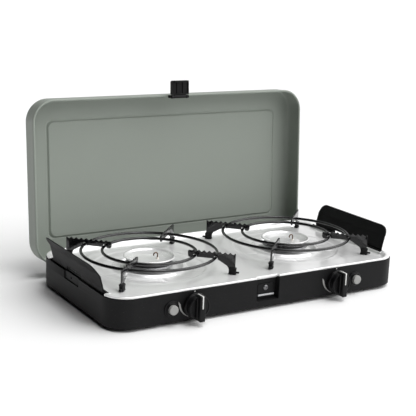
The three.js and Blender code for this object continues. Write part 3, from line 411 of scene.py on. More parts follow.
def group_node(tree, group, **values):
    node = tree.nodes.new("ShaderNodeGroup")
    node.node_tree = group
    for label, value in values.items():
        node.inputs[label.replace("_", " ")].default_value = value
    return node


def blend_colour(tree, factor, first, second):
    mix = tree.nodes.new("ShaderNodeMix")
    mix.data_type = "RGBA"
    tree.links.new(factor, mix.inputs["Factor"])
    for socket, value in ((mix.inputs[6], first), (mix.inputs[7], second)):
        if hasattr(value, "is_linked"):
            tree.links.new(value, socket)
        else:
            socket.default_value = (*value, 1.0)
    return mix.outputs[2]


def spread(tree, value, low, high):
    """A mask stretched to run from low to high."""
    node = tree.nodes.new("ShaderNodeMapRange")
    node.inputs["To Min"].default_value = low
    node.inputs["To Max"].default_value = high
    tree.links.new(value, node.inputs["Value"])
    return node.outputs["Result"]


def new_material(name):
    material = bpy.data.materials.new(name)
    material.use_nodes = True
    tree = material.node_tree
    return material, tree, tree.nodes["Principled BSDF"]


def bump(tree, shader, height, strength, distance):
    node = tree.nodes.new("ShaderNodeBump")
    node.inputs["Strength"].default_value = strength
    node.inputs["Distance"].default_value = distance * MM
    tree.links.new(height, node.inputs["Height"])
    tree.links.new(node.outputs["Normal"], shader.inputs["Normal"])


def shades(colour, low=0.86, high=1.12):
    return tuple(c * low for c in colour[:3]), tuple(min(c * high, 1.0) for c in colour[:3])


def coated(name, colour, roughness, grain_scale, grain_height, specular=0.5, cloud_scale=9.0,
           variation=(0.9, 1.1), speck=0.0, index=1.5):
    """Paint, plastic, rubber or enamel: clouds vary its colour and gloss, grain lifts its skin."""
    material, tree, shader = new_material(name)
    texture = group_node(tree, bpy.data.node_groups["Coat"], Grain_Scale=grain_scale, Cloud_Scale=cloud_scale)
    dark, light = shades(colour, *variation)
    tint = blend_colour(tree, texture.outputs["Clouds"], dark, light)
    if speck:
        dusty = math_node(tree, "MULTIPLY", texture.outputs["Specks"], speck)
        tint = blend_colour(tree, dusty, tint, tuple(min(c + 0.18, 1.0) for c in colour[:3]))
    tree.links.new(tint, shader.inputs["Base Color"])
    tree.links.new(spread(tree, texture.outputs["Clouds"], roughness * 0.82, roughness * 1.18),
                   shader.inputs["Roughness"])
    shader.inputs["Specular IOR Level"].default_value = specular
    shader.inputs["IOR"].default_value = index
    bump(tree, shader, texture.outputs["Grain"], 0.5, grain_height)
    return material


def metal(name, colour, roughness, line_scale=260.0, line_height=0.01, scratch=0.35, variation=(0.94, 1.05),
          metallic=1.0):
    """Bare metal: rolling lines and clouds in its colour and gloss, scratches that catch the light. A lower
    metallic share lets a pale base colour light up as diffuse light, a painted reflection of white surroundings."""
    material, tree, shader = new_material(name)
    texture = group_node(tree, bpy.data.node_groups["Bare Metal"], Line_Scale=line_scale)
    dark, light = shades(colour, *variation)
    tree.links.new(blend_colour(tree, texture.outputs["Clouds"], dark, light), shader.inputs["Base Color"])
    rough = spread(tree, texture.outputs["Lines"], roughness * 0.8, roughness * 1.25)
    marks = math_node(tree, "MULTIPLY", texture.outputs["Scratches"], scratch * roughness)
    tree.links.new(math_node(tree, "ADD", rough, marks, clamp=True), shader.inputs["Roughness"])
    shader.inputs["Metallic"].default_value = metallic
    bump(tree, shader, texture.outputs["Lines"], 0.4, line_height)
    return material


# ---- Settings ----------------------------------------------------------------------------
def colour_setting(name, description, value):
    return FloatVectorProperty(name=name, description=description, default=value, size=3, subtype="COLOR",
                               min=0.0, max=1.0)


def size_setting(name, description, value):
    return FloatProperty(name=name, description=description, default=value, min=0.0, unit="LENGTH")


class StoveColours(bpy.types.PropertyGroup):
    """Colours of the stove's finishes."""
    body: colour_setting("Body", "Powder coat of the body and windshields", (0.0075, 0.0075, 0.008))
    lid: colour_setting("Lid", "Powder coat of the lid", (0.292, 0.322, 0.286))
    # Near white: partly the steel's own brightness, partly a painted reflection of the white surroundings
    steel: colour_setting("Steel", "Stainless tray and flame dishes", (0.97, 0.97, 0.97))
    enamel: colour_setting("Enamel", "Enamel of the pan supports", (0.004, 0.004, 0.0045))
    plastic: colour_setting("Plastic", "Knobs, latch and igniter collars", (0.0045, 0.0045, 0.005))
    button: colour_setting("Buttons", "Igniter buttons", (0.34, 0.34, 0.33))
    print_mark: colour_setting("Markings", "Printed marks on the front and the knobs", (0.82, 0.82, 0.80))


class StoveSizes(bpy.types.PropertyGroup):
    """Sizes that can change without moving a piece."""
    ring_wire: size_setting("Ring wire", "Radius of the pan support rings' wire", 2.3 * MM)
    groove_depth: size_setting("Lid groove", "Depth of the line pressed into the lid", 1.0 * MM)
    panel_rise: size_setting("Lid panel", "How far the panel inside the line stands in", 1.6 * MM)
    tray_sheet: size_setting("Tray sheet", "Thickness of the tray's steel", 0.8 * MM)
    lid_draw: size_setting("Lid edge", "Radius between the lid's top and its walls", 5.5 * MM)


class StoveStage(bpy.types.PropertyGroup):
    """Floor, light and camera."""
    floor: colour_setting("Floor", "Colour of the floor", (0.93, 0.93, 0.93))
    dark_side: FloatProperty(name="Left surroundings",
                             description="Brightness of the surroundings at the left",
                             default=0.0, min=0.0)
    light_side: FloatProperty(name="Right surroundings",
                              description="Brightness of the surroundings at the right",
                              default=1.1, min=0.0)
    key: FloatProperty(name="Key light", description="Strength of the wide light from the upper right",
                       default=2.5, min=0.0)
    sparkle: FloatProperty(name="Small light",
                           description="Strength of the small light that draws highlights",
                           default=0.45, min=0.0)
    distance: size_setting("Camera distance", "From the camera to the point that it looks at", 1.557)
    lens: FloatProperty(name="Lens", description="Focal length", default=86.95, min=1.0, unit="CAMERA")
    azimuth: FloatProperty(name="Azimuth", description="Camera's turn about the stove",
                           default=math.radians(-31.89), subtype="ANGLE")
    elevation: FloatProperty(name="Elevation", description="Camera's height as an angle",
                             default=math.radians(13.79), subtype="ANGLE")
    roll: FloatProperty(name="Roll", description="Camera's tilt about its own line of sight",
                        default=math.radians(2.17), subtype="ANGLE")


FINISHES = {}


def finish_of(slot):
    return FINISHES[slot]


# ---- Finishes ----------------------------------------------------------------------------
class STOVE_OT_finishes(bpy.types.Operator):
    """Make the stove's finishes and give them to the frame's nodes"""
    bl_idname = "stove.finishes"
    bl_label = "Finishes"

    def execute(self, context):
        colours = context.scene.stove_colours
        coat_group()
        metal_group()
        FINISHES.update({
            "body_paint": coated("Body powder coat", colours.body, 0.5, 1500.0, 0.05, specular=0.16,
                                 cloud_scale=7.0, variation=(0.9, 1.12), speck=0.06),
            "lid_paint": coated("Sage powder coat", colours.lid, 0.5, 1300.0, 0.04, specular=0.35,
                                cloud_scale=5.0, variation=(0.97, 1.03)),
            # Pale colour with a low metallic share: partly the tray's own bright steel, partly a painted
            # reflection of the white surroundings
            "stainless": metal("Pressed stainless steel with painted reflection", colours.steel, 0.2, 320.0, 0.004, 0.15,
                               (0.97, 1.02), 0.38),
            # The cast base's dark grey is painted shade: it darkens the band under the flame dish's rim
            "burner_aluminium": metal("Cast aluminium darkened as painted shade", (0.36, 0.36, 0.37), 0.42, 700.0, 0.03, 0.2),
            "support_enamel": coated("Black enamel", colours.enamel, 0.16, 800.0, 0.01, specular=0.5,
                                     cloud_scale=40.0, variation=(0.8, 1.3), speck=0.03, index=1.6),
            "boot_rubber": coated("Rubber", (0.009, 0.009, 0.0095), 0.65, 1200.0, 0.06, specular=0.18,
                                  cloud_scale=60.0, variation=(0.8, 1.3), speck=0.1),
            "black_plastic": coated("Moulded plastic", colours.plastic, 0.36, 1800.0, 0.03, specular=0.2,
                                    cloud_scale=50.0, variation=(0.9, 1.15), speck=0.04),
            "button_plastic": coated("Button plastic", colours.button, 0.4, 1500.0, 0.03, specular=0.4,
                                     cloud_scale=120.0, variation=(0.9, 1.1)),
            "brass": metal("Machined brass", (0.62, 0.43, 0.17), 0.3, 900.0, 0.02, 0.4, (0.85, 1.1)),
            "zinc_steel": metal("Zinc-plated steel", (0.50, 0.51, 0.52), 0.36, 600.0, 0.02, 0.5, (0.8, 1.15)),
            "spark_ceramic": coated("Glazed ceramic", (0.74, 0.70, 0.62), 0.3, 500.0, 0.01, specular=0.5,
                                    cloud_scale=80.0, variation=(0.9, 1.05)),
            "lead_rubber": coated("Silicone lead", (0.27, 0.03, 0.02), 0.5, 700.0, 0.02, cloud_scale=60.0),
        })
        FINISHES["print"] = coated("Printed marks", colours.print_mark, 0.5, 900.0, 0.01, specular=0.3,
                                   cloud_scale=90.0, variation=(0.92, 1.05))
        FINISHES["faint_print"] = coated("Faint printed marks", (0.36, 0.36, 0.35), 0.5, 900.0, 0.01,
                                         specular=0.3, cloud_scale=90.0, variation=(0.85, 1.1))
        # The dish's pale colour at half metallic share is partly its own polish and partly a painted reflection of
        # the white surroundings
        FINISHES["polished_steel"] = metal("Polished steel with painted reflection", (0.95, 0.95, 0.95), 0.2, 400.0, 0.004, 0.5,
                                           (0.97, 1.02), 0.5)
        FINISHES["dull_steel"] = metal("Dull steel", (0.2, 0.2, 0.205), 0.35, 600.0, 0.02, 0.4, (0.8, 1.2))
        # Near-black steel that paints shade: the zinc-plated windshield rods take it so the shield's window looks
        # dark, and the flame ports take it, partly for their own dark metal
        FINISHES["shade_black_steel"] = metal("Steel darkened as painted shade", (0.05, 0.05, 0.052), 0.4, 600.0, 0.02, 0.4,
                                        (0.8, 1.2))
        FINISHES["spark_wire"] = metal("Heat-tinted wire", (0.12, 0.075, 0.05), 0.35, 900.0, 0.01, 0.3,
                                       (0.6, 1.2))
        for part in frame["record"]["subparts"]:
            finish_nodes([part["node"]], finish_of(part["material_slot"]))
        return {"FINISHED"}


# ---- Body --------------------------------------------------------------------------------
RECESS_FRONT, RECESS_BACK = -17, 33  # pressed panel in each side wall, along y
RECESS_BOTTOM = BODY_TOP - 12
RECESS_DEPTH = 2
RECESS_HOLE = (12, RECESS_BOTTOM + 5, 1.6)  # y, z and radius
HINGE_X = middle_of("lid_hinge_arm_right")[0]
HINGE_GAP = 10.2  # half the width of the gap that each hinge strap swings through
HINGE_GAP_BOTTOM = min(stove_box("lid_hinge_arm_right")[0][2], HINGE[2] - 3) - 0.3


def step_lines(edge, soft, count=6):
    """Grid lines across a pressed edge, from just outside it to just inside."""
    return np.linspace(edge - soft, edge + soft, count)


def wall_stations():
    """Distances along the body's outline where the wall has a column of points."""
    _, _, starts = outline_at(np.array([0.0]), HALF_X, HALF_Y, CORNER)
    lines = [starts]
    for part in (1, 3, 5, 7):
        lines.append(np.linspace(starts[part], starts[part + 1], 19))
    lines.append(step_lines(POCKET_HALF, 0.9))
    lines.append(step_lines(starts[9] - POCKET_HALF, 0.9))
    lines.append(np.array([8.0, starts[9] - 8.0]))
    rear = (starts[4] + starts[5]) / 2
    lines += [rear + side * HINGE_X + side * step_lines(edge, 0.3, 2)
              for side in (-1, 1) for edge in (-HINGE_GAP, HINGE_GAP)]
    for first, sign in ((2, 1), (6, -1)):
        middle = (starts[first] + starts[first + 1]) / 2
        y_lines = np.concatenate([
            step_lines(RECESS_FRONT, 0.7), step_lines(RECESS_FRONT + 4, 0.5, 4), step_lines(RECESS_BACK, 0.7),
            RECESS_HOLE[0] + np.linspace(-2.2, 2.2, 12), [0, 22]])
        lines.append(middle + sign * y_lines)
    stations = np.unique(np.round(np.concatenate(lines), 4))
    return stations[stations < starts[9] - 0.01]


def pressed_depth(x, y, z, grow):
    """How far the wall is pressed in at a point: the latch pocket in the front, and in each side a
    shallow panel with a slot at its front end and a small hole. The inner face of the sheet is
    pressed over a slightly wider area, so that the steps keep the sheet's thickness."""
    front = smooth(HALF_Y - 3, HALF_Y - 1, -y)
    pocket = front * smooth(-POCKET_HALF - 0.8 - grow, -POCKET_HALF + 0.2 - grow, -np.abs(x))
    pocket = pocket * smooth(POCKET_BOTTOM - 0.8 - grow, POCKET_BOTTOM + 0.4 - grow, z)
    side = smooth(HALF_X - 3, HALF_X - 1, np.abs(x))
    panel = (side * smooth(RECESS_FRONT - 0.6 - grow, RECESS_FRONT + 0.4 - grow, y)
             * smooth(-RECESS_BACK - 0.6 - grow, -RECESS_BACK + 0.4 - grow, -y)
             * smooth(RECESS_BOTTOM - 0.6 - grow, RECESS_BOTTOM + 0.4 - grow, z))
    slot = panel * (1 - smooth(RECESS_FRONT + 3.4, RECESS_FRONT + 4.2, y)) * (1 - smooth(45.6, 46.4, z))
    away = np.hypot(y - RECESS_HOLE[0], z - RECESS_HOLE[1])
    hole = side * (1 - smooth(RECESS_HOLE[2] - 0.3, RECESS_HOLE[2] + 0.3, away))
    return pocket * POCKET_DEPTH + panel * RECESS_DEPTH + slot * 5 + hole * 3


def body_wall():
    """The wall's closed section of inset and height, carried round the outline and pressed in. It is
    lower where the hinge straps swing through the rear wall."""
    heights = np.unique(np.concatenate([
        [BODY_BOTTOM + 1.1, 11, 24, 32], step_lines(POCKET_BOTTOM, 1.1, 7), step_lines(RECESS_BOTTOM, 0.9, 6),
        RECESS_HOLE[1] + np.linspace(-2.1, 2.1, 9), [45.2, 45.8, 46.4, BODY_TOP - 0.6]]))
    outer = np.stack([np.zeros_like(heights), heights], axis=-1)
    inner = np.stack([np.full_like(heights, SHEET), heights], axis=-1)[::-1]
    quarter = np.linspace(0, math.pi / 2, 5)[1:]
    top = np.stack([0.6 * (1 - np.cos(quarter)), BODY_TOP - 0.6 + 0.6 * np.sin(quarter)], axis=-1)
    foot = [(SHEET, BODY_BOTTOM + SHEET), (8, BODY_BOTTOM + SHEET), (8, BODY_BOTTOM)]
    bottom = np.stack([1.1 - 1.1 * np.sin(quarter), BODY_BOTTOM + 1.1 - 1.1 * np.cos(quarter)], axis=-1)
    section = np.concatenate([outer, top, inner, foot, [(1.1, BODY_BOTTOM)], bottom[:-1]])
    grow = np.where(section[:, 0] > SHEET / 2, SHEET, 0)[:, None]
    line, normal, _ = outline_at(wall_stations(), HALF_X, HALF_Y, CORNER)
    x, y, z = line[None, :, 0], line[None, :, 1], section[:, 1, None]
    in_gap = (y > HALF_Y - 1) & (np.abs(np.abs(x) - HINGE_X) < HINGE_GAP)
    z = np.where(in_gap, np.minimum(z, HINGE_GAP_BOTTOM), z)
    held = np.where((section[:, 0] > 2) | (section[:, 1] < BODY_BOTTOM + 1), 0, 1)[:, None]
    inset = section[:, 0, None] + held * pressed_depth(x, y, z, grow)
    points = along("z", x - normal[None, :, 0] * inset, y - normal[None, :, 1] * inset, z)
    return loft(points, loop=True)


def rod_lugs(sign):
    """Ears inside the side edge that hold the ends of the windshield's rod."""
    low, high = stove_box(f"windshield_rod_{'right' if sign > 0 else 'left'}")
    axis_x, axis_z = (low[0] + high[0]) / 2, (low[2] + high[2]) / 2
    ears = []
    for y in (low[1] + 1.3, high[1] - 5.3):
        ears.append(block((axis_x, axis_z - 3), (1.8, 4.4), 1.4, y, y + 4, 0.4, axis="y"))
    return ears


class STOVE_OT_body(bpy.types.Operator):
    """Build the body's wall with its rod lugs, and the four feet"""
    bl_idname = "stove.body"
    bl_label = "Body"

    def execute(self, context):
        surfaces = [body_wall()] + rod_lugs(-1) + rod_lugs(1)
        make_piece("stove_body", surfaces, finish_of("body_paint"), "root", ["body_shell"])
        for end in ("front", "rear"):
            for name, _ in SIDES:
                node = f"foot_{end}_{name}"
                centre = middle_of(node)
                high = stove_box(node)[1]
                top = BODY_BOTTOM + 1.2
                profile = filleted([(0, 0), (7.8, 0), (9, top), (3, top), (3, high[2] - 2.4),
                                    (4.4, high[2] - 2.4),
                                    (3, high[2]), (0, high[2])], [0, 1.1, 0.5, 0.2, 0.2, 0.2, 0.6, 0])
                make_piece(f"rubber_foot_{end}_{name}",
                           [turned(profile, (centre[0], centre[1], 0), segments=48)],
                           finish_of("boot_rubber"), "root", [node])
        return {"FINISHED"}


# ---- Front markings ----------------------------------------------------------------------
def flame_scale(centre):
    """A tapering crescent beside the knob that shows a falling flame: its radius and its width both
    shrink with the angle from its top end to its lower end."""
    angle = np.radians(np.linspace(163, 258, 40))
    share = np.linspace(0, 1, 40)
    radius = 27.2 - 8.2 * np.sin(share * math.pi / 2)
    width = 3.3 * np.clip(share * 12, 0, 1) * (1 - share) ** 0.9 + 0.12
    outer = np.stack([radius * np.cos(angle), radius * np.sin(angle)], axis=-1)
    inner = np.stack([(radius - width) * np.cos(angle), (radius - width) * np.sin(angle)], axis=-1)
    outline = np.concatenate([outer, inner[::-1]]) + [centre[0], centre[2]]
    return slab(outline, -HALF_Y - 0.06, -HALF_Y + 0.05, 0.02, axis="y", steps=1)


class STOVE_OT_markings(bpy.types.Operator):
    """Print the dot and the flame scale beside each knob"""
    bl_idname = "stove.markings"
    bl_label = "Front markings"

    def execute(self, context):
        for name, _ in SIDES:
            centre = middle_of(f"knob_{name}")
            make_piece(f"flame_scale_{name}", [flame_scale(centre)], finish_of("faint_print"), "root")
            dot = turned([(0, -0.06), (0.95, -0.06), (0.95, 0.05), (0, 0.05)],
                         (centre[0] + 0.3, -HALF_Y, centre[2] + 20.0), axis="y", segments=24)
            make_piece(f"off_mark_{name}", [dot], finish_of("print"), "root")
        return {"FINISHED"}


# ---- Tray --------------------------------------------------------------------------------
FOOT_X, FOOT_Y, FOOT_CORNER = HALF_X - 15, HALF_Y - 9, 28  # where the rim's slope meets the floor
NECK_HOLE = 15.8
SLOT_FRONT, SLOT_BACK = stove_box("windshield_rod_left")[0][1], stove_box("windshield_rod_left")[1][1]


def tray_height(x, y, centre):
    """The pressed floor: a well under the burner, a raised bead round it, a shallow cone with soft
    radial creases, and a low step up to the flat floor, plus a very slight unevenness."""
    across, deep = x - centre[0], y - centre[1]
    radius = np.hypot(across, deep)
    angle = np.arctan2(deep, across)
    well = -4.2 * (1 - smooth(44, 51, radius))
    bead = 1.5 * np.exp(-((radius - 53) / 2.6) ** 2)
    cone = -1.5 * smooth(54, 60, radius) * (1 - smooth(60, 84, radius))
    step = -1.1 * smooth(50, 58, radius) * (1 - smooth(84.5, 87.5, radius))
    window = smooth(57, 63, radius) * (1 - smooth(74, 83, radius))
    turn = angle + 0.08 * np.sin(3 * angle) + 0.2
    creases = -0.8 * window * np.exp(-(np.sin(5.5 * turn) * radius / (5.5 * 1.9)) ** 2)
    uneven = 0.16 * np.sin(x / 31 + 0.7) * np.sin(y / 23 + 0.4) * smooth(88, 96, radius)
    return FLOOR_TOP + well + bead + cone + step + creases + uneven


def rim_section():
    """Shares of the way from the rim's outer edge to the slope's foot, and heights."""
    points = filleted([(-0.005, TRAY_TOP - 2.9), (0.0, TRAY_TOP - 0.1), (0.42, TRAY_TOP + 0.05),
                       (0.62, TRAY_TOP - 1.2), (0.86, FLOOR_TOP + 0.35), (1.0, FLOOR_TOP)],
                      [0, 0.0, 0.0, 0.0, 0.0, 0], 1, closed=False)
    curve = np.linspace(0, 1, 26)
    length = np.concatenate([[0], np.cumsum(np.hypot(np.diff(points[:, 0]) * 10, np.diff(points[:, 1])))])
    length = length / length[-1]
    share = np.interp(curve, length, points[:, 0])
    height = np.interp(curve, length, points[:, 1])
    kernel = np.array([1, 2, 3, 2, 1]) / 9
    share[2:-2] = np.convolve(share, kernel, mode="valid")
    height[2:-2] = np.convolve(height, kernel, mode="valid")
    return share, height


def half_tray():
    """The right half. Its floor is polar about the burner, from the neck's hole to the foot of the
    rim and the middle line; its rim goes on outwards from there, drawn in where a windshield's rod
    and the latch pocket need room."""
    centre = middle_of("burner_dish_right")
    _, _, starts = outline_at(np.array([0.0]), FOOT_X, FOOT_Y, FOOT_CORNER)
    total = starts[9]
    fine = [np.linspace(0, POCKET_HALF - 2, 4), POCKET_HALF + np.linspace(-1.6, 2.4, 9)]
    middle = (starts[2] + starts[3]) / 2
    for edge in (SLOT_FRONT, SLOT_BACK):
        fine.append(middle + edge + np.linspace(-3, 3, 11))
    fine.append(np.linspace(0, total / 2, 150))
    stations = np.unique(np.round(np.concatenate(fine), 3))
    foot, _, _ = outline_at(stations, FOOT_X, FOOT_Y, FOOT_CORNER)
    foot[0, 0] = foot[-1, 0] = 0
    seam_y = np.linspace(FOOT_Y, -FOOT_Y, 72)[1:-1]
    seam = np.stack([np.zeros_like(seam_y), seam_y], axis=-1)
    edge = np.concatenate([foot, seam])
    reach = np.linalg.norm(edge - centre[:2], axis=1)
    towards = (edge - centre[:2]) / reach[:, None]
    radii = np.concatenate([np.linspace(NECK_HOLE, 42, 5), np.linspace(44, 64, 23), np.linspace(66, 92, 22)])
    rows = [radii[:, None] * np.ones_like(reach)[None, :]]
    share = np.linspace(0, 1, 11)[1:, None]
    rows.append(radii[-1] + (reach[None, :] - radii[-1]) * share)
    distance = np.concatenate(rows)
    x = centre[0] + distance * towards[None, :, 0]
    y = centre[1] + distance * towards[None, :, 1]
    z = tray_height(x, y, centre)
    fade = smooth(0, 8, np.abs(reach[None, :] - distance))
    on_rim = np.arange(len(edge)) < len(foot)
    z = np.where(on_rim[None, :], FLOOR_TOP + (z - FLOOR_TOP) * fade, z)
    floor = np.stack([x, y, z], axis=-1)
    floor = np.concatenate([floor, floor[:, :1]], axis=1)
    share, height = rim_section()
    fraction = stations / total
    outer = matched_outline(fraction, starts)
    blend = share[:, None, None]
    line = outer[None] + (foot[None] - outer[None]) * blend
    side = smooth(HALF_X - 20, HALF_X - 16, outer[:, 0])
    slot = (side * smooth(SLOT_FRONT - 2.2, SLOT_FRONT - 0.6, outer[:, 1])
            * smooth(-SLOT_BACK - 2.2, -SLOT_BACK - 0.6, -outer[:, 1]))
    notch = (smooth(HALF_Y - 6, HALF_Y - 2, -outer[:, 1])
             * smooth(-POCKET_HALF - 1.4, -POCKET_HALF - 0.2, -np.abs(outer[:, 0])))
    squeeze = (0.72 * slot + 0.5 * notch)[None, :, None]
    line = line + (foot[None] - line) * squeeze
    low = (slot * 1.1)[None, :]
    rim = np.concatenate([line, (height[:, None] - low * (1 - smooth(0.6, 1, share))[:, None])[..., None]],
                         axis=-1)
    rim = rim[::-1]
    return grid(floor), grid(rim)


def matched_outline(fraction, foot_starts):
    """Points of the rim's outer edge that face the given shares of the foot's outline, part by part."""
    inset = 0.9
    _, _, starts = outline_at(np.array([0.0]), HALF_X - inset, HALF_Y - inset, CORNER - inset)
    stations = np.interp(fraction * foot_starts[-1], foot_starts, starts)
    points, _, _ = outline_at(stations, HALF_X - inset, HALF_Y - inset, CORNER - inset)
    points[0, 0] = points[-1, 0] = 0
    return points


class STOVE_OT_tray(bpy.types.Operator):
    """Press the bright tray with its rim, wells and beads"""
    bl_idname = "stove.tray"
    bl_label = "Tray"

    def execute(self, context):
        floor, rim = half_tray()
        surfaces = [floor, rim, mirrored(floor), mirrored(rim)]
        piece = make_piece("steel_tray", surfaces, finish_of("stainless"), "root",
                           ["cooking_tray"],
                           sharp=60, closed=False)
        face_up(piece)
        thicken(piece, context.scene.stove_sizes.tray_sheet / MM)
        return {"FINISHED"}


def face_up(piece):
    """Turns an open sheet's faces to agree with one another and to look upwards on the whole."""
    sculpt = bmesh.new()
    sculpt.from_mesh(piece.data)
    bmesh.ops.recalc_face_normals(sculpt, faces=sculpt.faces)
    upward = sum(face.normal.z * face.calc_area() for face in sculpt.faces)
    if upward < 0:
        bmesh.ops.reverse_faces(sculpt, faces=sculpt.faces)
    sculpt.to_mesh(piece.data)
    sculpt.free()


# ---- Pan supports ------------------------------------------------------------------------
RING_Z = 69
RING_OUTER = 103.5
RING_INNER = 71.5
ARM_INNER = 61
ARM_OUTER = 134
ARM_TOP = 78.5
LEG_INNER = 124
ARM_HALF_PLATE = 1.2
ARM_ANGLES = (45, 135, 225, 315)
BOOT_LOW = FLOOR_TOP + 0.3
BOOT_HIGH = BOOT_LOW + 9
TEETH = 9


def ring(radius, wire):
    angle = np.linspace(0, TAU, 144, endpoint=False)
    path = np.stack([radius * np.cos(angle), radius * np.sin(angle), np.full_like(angle, RING_Z)], axis=-1)
    return tube(path, wire, (0, 0, 1), sides=18, loop=True)


def arch(radius, size, start, stop):
    """An arc over a ring's wire, as points of radius and height."""
    angle = np.radians(np.linspace(start, stop, 9))
    return np.stack([radius + size * np.cos(angle), RING_Z + size * np.sin(angle)], axis=-1)


def arm_outline():
    """One arm seen from its side: a wavy top edge, notches over the two rings, and a tapering leg."""
    notch = 3.0
    underside = np.concatenate([
        [(ARM_INNER, RING_Z - 0.4), (ARM_INNER + 1.4, RING_Z - 2.4), (RING_INNER - 5, RING_Z - 2.6),
         (RING_INNER - notch, RING_Z - 1.6)],
        arch(RING_INNER, notch, 175, 5),
        [(RING_INNER + notch, RING_Z - 1.6), (RING_INNER + 5, RING_Z - 1.4), (RING_OUTER - 6, RING_Z - 1.2),
         (RING_OUTER - notch, RING_Z - 1.8)],
        arch(RING_OUTER, notch, 175, 5),
        [(RING_OUTER + notch, RING_Z - 2.2), (RING_OUTER + 4.4, RING_Z - 2.6), (LEG_INNER - 2.5, 58.5),
         (LEG_INNER - 0.4, 55.5), (LEG_INNER + 1.8, BOOT_LOW + 1.2), (ARM_OUTER - 0.8, BOOT_LOW + 1.2),
         (ARM_OUTER, 57), (ARM_OUTER, ARM_TOP - 0.6)],
    ])
    along_top = np.linspace(ARM_OUTER - 0.8, ARM_INNER + 1.6, 91)
    phase = (ARM_OUTER - along_top) / (ARM_OUTER - ARM_INNER) * TEETH * TAU
    wave = ARM_TOP - 1.3 + 1.3 * np.cos(phase) * np.clip((along_top - ARM_INNER - 3) / 6, 0, 1)
    top = np.stack([along_top, wave], axis=-1)
    inner_end = np.array([(ARM_INNER + 0.4, ARM_TOP - 1.6), (ARM_INNER - 0.4, ARM_TOP - 3.2),
                          (ARM_INNER - 0.5, RING_Z + 2)])
    return np.concatenate([underside, top, inner_end])


def boot(centre, angle):
    """A soft boot on a leg: rounded outlines that swell at the foot and at the collar, with a tab."""
    middle = (LEG_INNER + ARM_OUTER) / 2 + 1
    height = np.linspace(0, 1, 15)
    swell = 0.5 * np.exp(-((height - 0.12) / 0.1) ** 2) + 0.45 * np.exp(-((height - 0.86) / 0.12) ** 2)
    ends = 0.9 * (1 - np.clip(height / 0.07, 0, 1)) ** 2 + 0.9 * (1 - np.clip((1 - height) / 0.07, 0, 1)) ** 2
    x, y = rectangle_rings(5.6 + swell - ends, 3.3 + swell - ends, np.full(15, 2.2), 6)
    sleeve = loft(along("z", x + middle, y, (BOOT_LOW + height * (BOOT_HIGH - BOOT_LOW + 1.6))[:, None]))
    tab = block((middle + 7.6, 0), (2.6, 1.8), 0.8, BOOT_LOW + 2, BOOT_LOW + 4.4, 0.6)
    return [changed(surface, lambda points: turned_about_z(points, angle, centre)) for surface in (sleeve,
                                                                                                   tab)]


class STOVE_OT_pan_supports(bpy.types.Operator):
    """Build the two ring-and-arm pan supports and their rubber boots"""
    bl_idname = "stove.pan_supports"
    bl_label = "Pan supports"

    def execute(self, context):
        wire = context.scene.stove_sizes.ring_wire / MM
        outline = arm_outline()
        plate = slab(outline, -ARM_HALF_PLATE, ARM_HALF_PLATE, 0.45, axis="y")
        for name, _ in SIDES:
            centre = middle_of(f"burner_dish_{name}")
            surfaces = [changed(ring(radius, wire), lambda points: points + [centre[0], centre[1], 0])
                        for radius in (RING_OUTER, RING_INNER)]
            surfaces += [changed(plate, lambda points: turned_about_z(points, angle, centre))
                         for angle in ARM_ANGLES]
            make_piece(f"rings_and_arms_{name}", surfaces, finish_of("support_enamel"), "root",
                       [f"pan_support_{name}"])
            for number, angle in enumerate(ARM_ANGLES, 1):
                make_piece(f"rubber_boot_{name}_{number}", boot(centre, angle), finish_of("boot_rubber"),
                           "root",
                           [f"support_boot_{name}_{number}"])
        return {"FINISHED"}


# ---- Burners -----------------------------------------------------------------------------
POST_RING = 25
HEAD_Z = 51
DISH_LOW = 55.3


def dish_section():
    """The flame dish from underneath, over its rolled edge and down to its middle."""
    return filleted([(0, DISH_LOW), (25, DISH_LOW), (37.2, 60.0), (38.6, 60.2), (40.0, 61.0), (39.7, 62.5),
                     (37.4, 62.6), (34.6, 60.3), (24.5, 56.7), (0, 56.5)],
                    [0, 6, 0.8, 0.6, 0.8, 0.7, 1.6, 4, 8, 0], 5)


def base_section():
    """The cast base: mixing neck, flared bowl and a rounded lip."""
    return filleted([(0, 15), (8.5, 15), (8.5, 42.4), (19, 42.4), (19.4, 44.2), (24, 47.6), (35.6, 48.6),
                     (37.6, 50.2), (36.4, 52), (33, 51.9), (24, 51.2), (9, 49.5), (0, 49.4)],
                    [0, 0.4, 0.8, 0.5, 1, 3, 1.2, 0.9, 0.8, 0.8, 3, 2, 0], 4)


def port_ring():
    """The ring of flame ports under the dish: its top edge rises and falls between the ports."""
    angle = np.linspace(0, TAU, 288, endpoint=False)[None, :]
    radius = np.array([31.0, 33.6, 33.9, 33.6, 31.4, 31.0])[:, None]
    rise = np.array([0, 0, 0.5, 1, 1, 0.5])[:, None]
    wave = smooth(-0.35, 0.35, np.cos(24 * angle))
    height = HEAD_Z + 0.9 + rise * (2.6 + 2.2 * wave)
    return loft(along("z", radius * np.cos(angle), radius * np.sin(angle), height), loop=True)


HOOK_REACH = 3.3
HOOK_RISE = 3.1
HOOK_MIDDLE_Z = 63.2


def hook_path(x, y):
    """The spark wire: straight up, then over in a half turn towards the burner's middle."""
    angle = np.radians(np.linspace(0, 205, 22))
    across = x - HOOK_REACH + HOOK_REACH * np.cos(angle)
    up = HOOK_MIDDLE_Z + HOOK_RISE * np.sin(angle)
    bend = np.stack([across, np.full_like(angle, y), up], axis=-1)
    stem = np.array([(x, y, 57.2), (x, y, 60.0), (x, y, 62.0)])
    return np.concatenate([stem, bend])


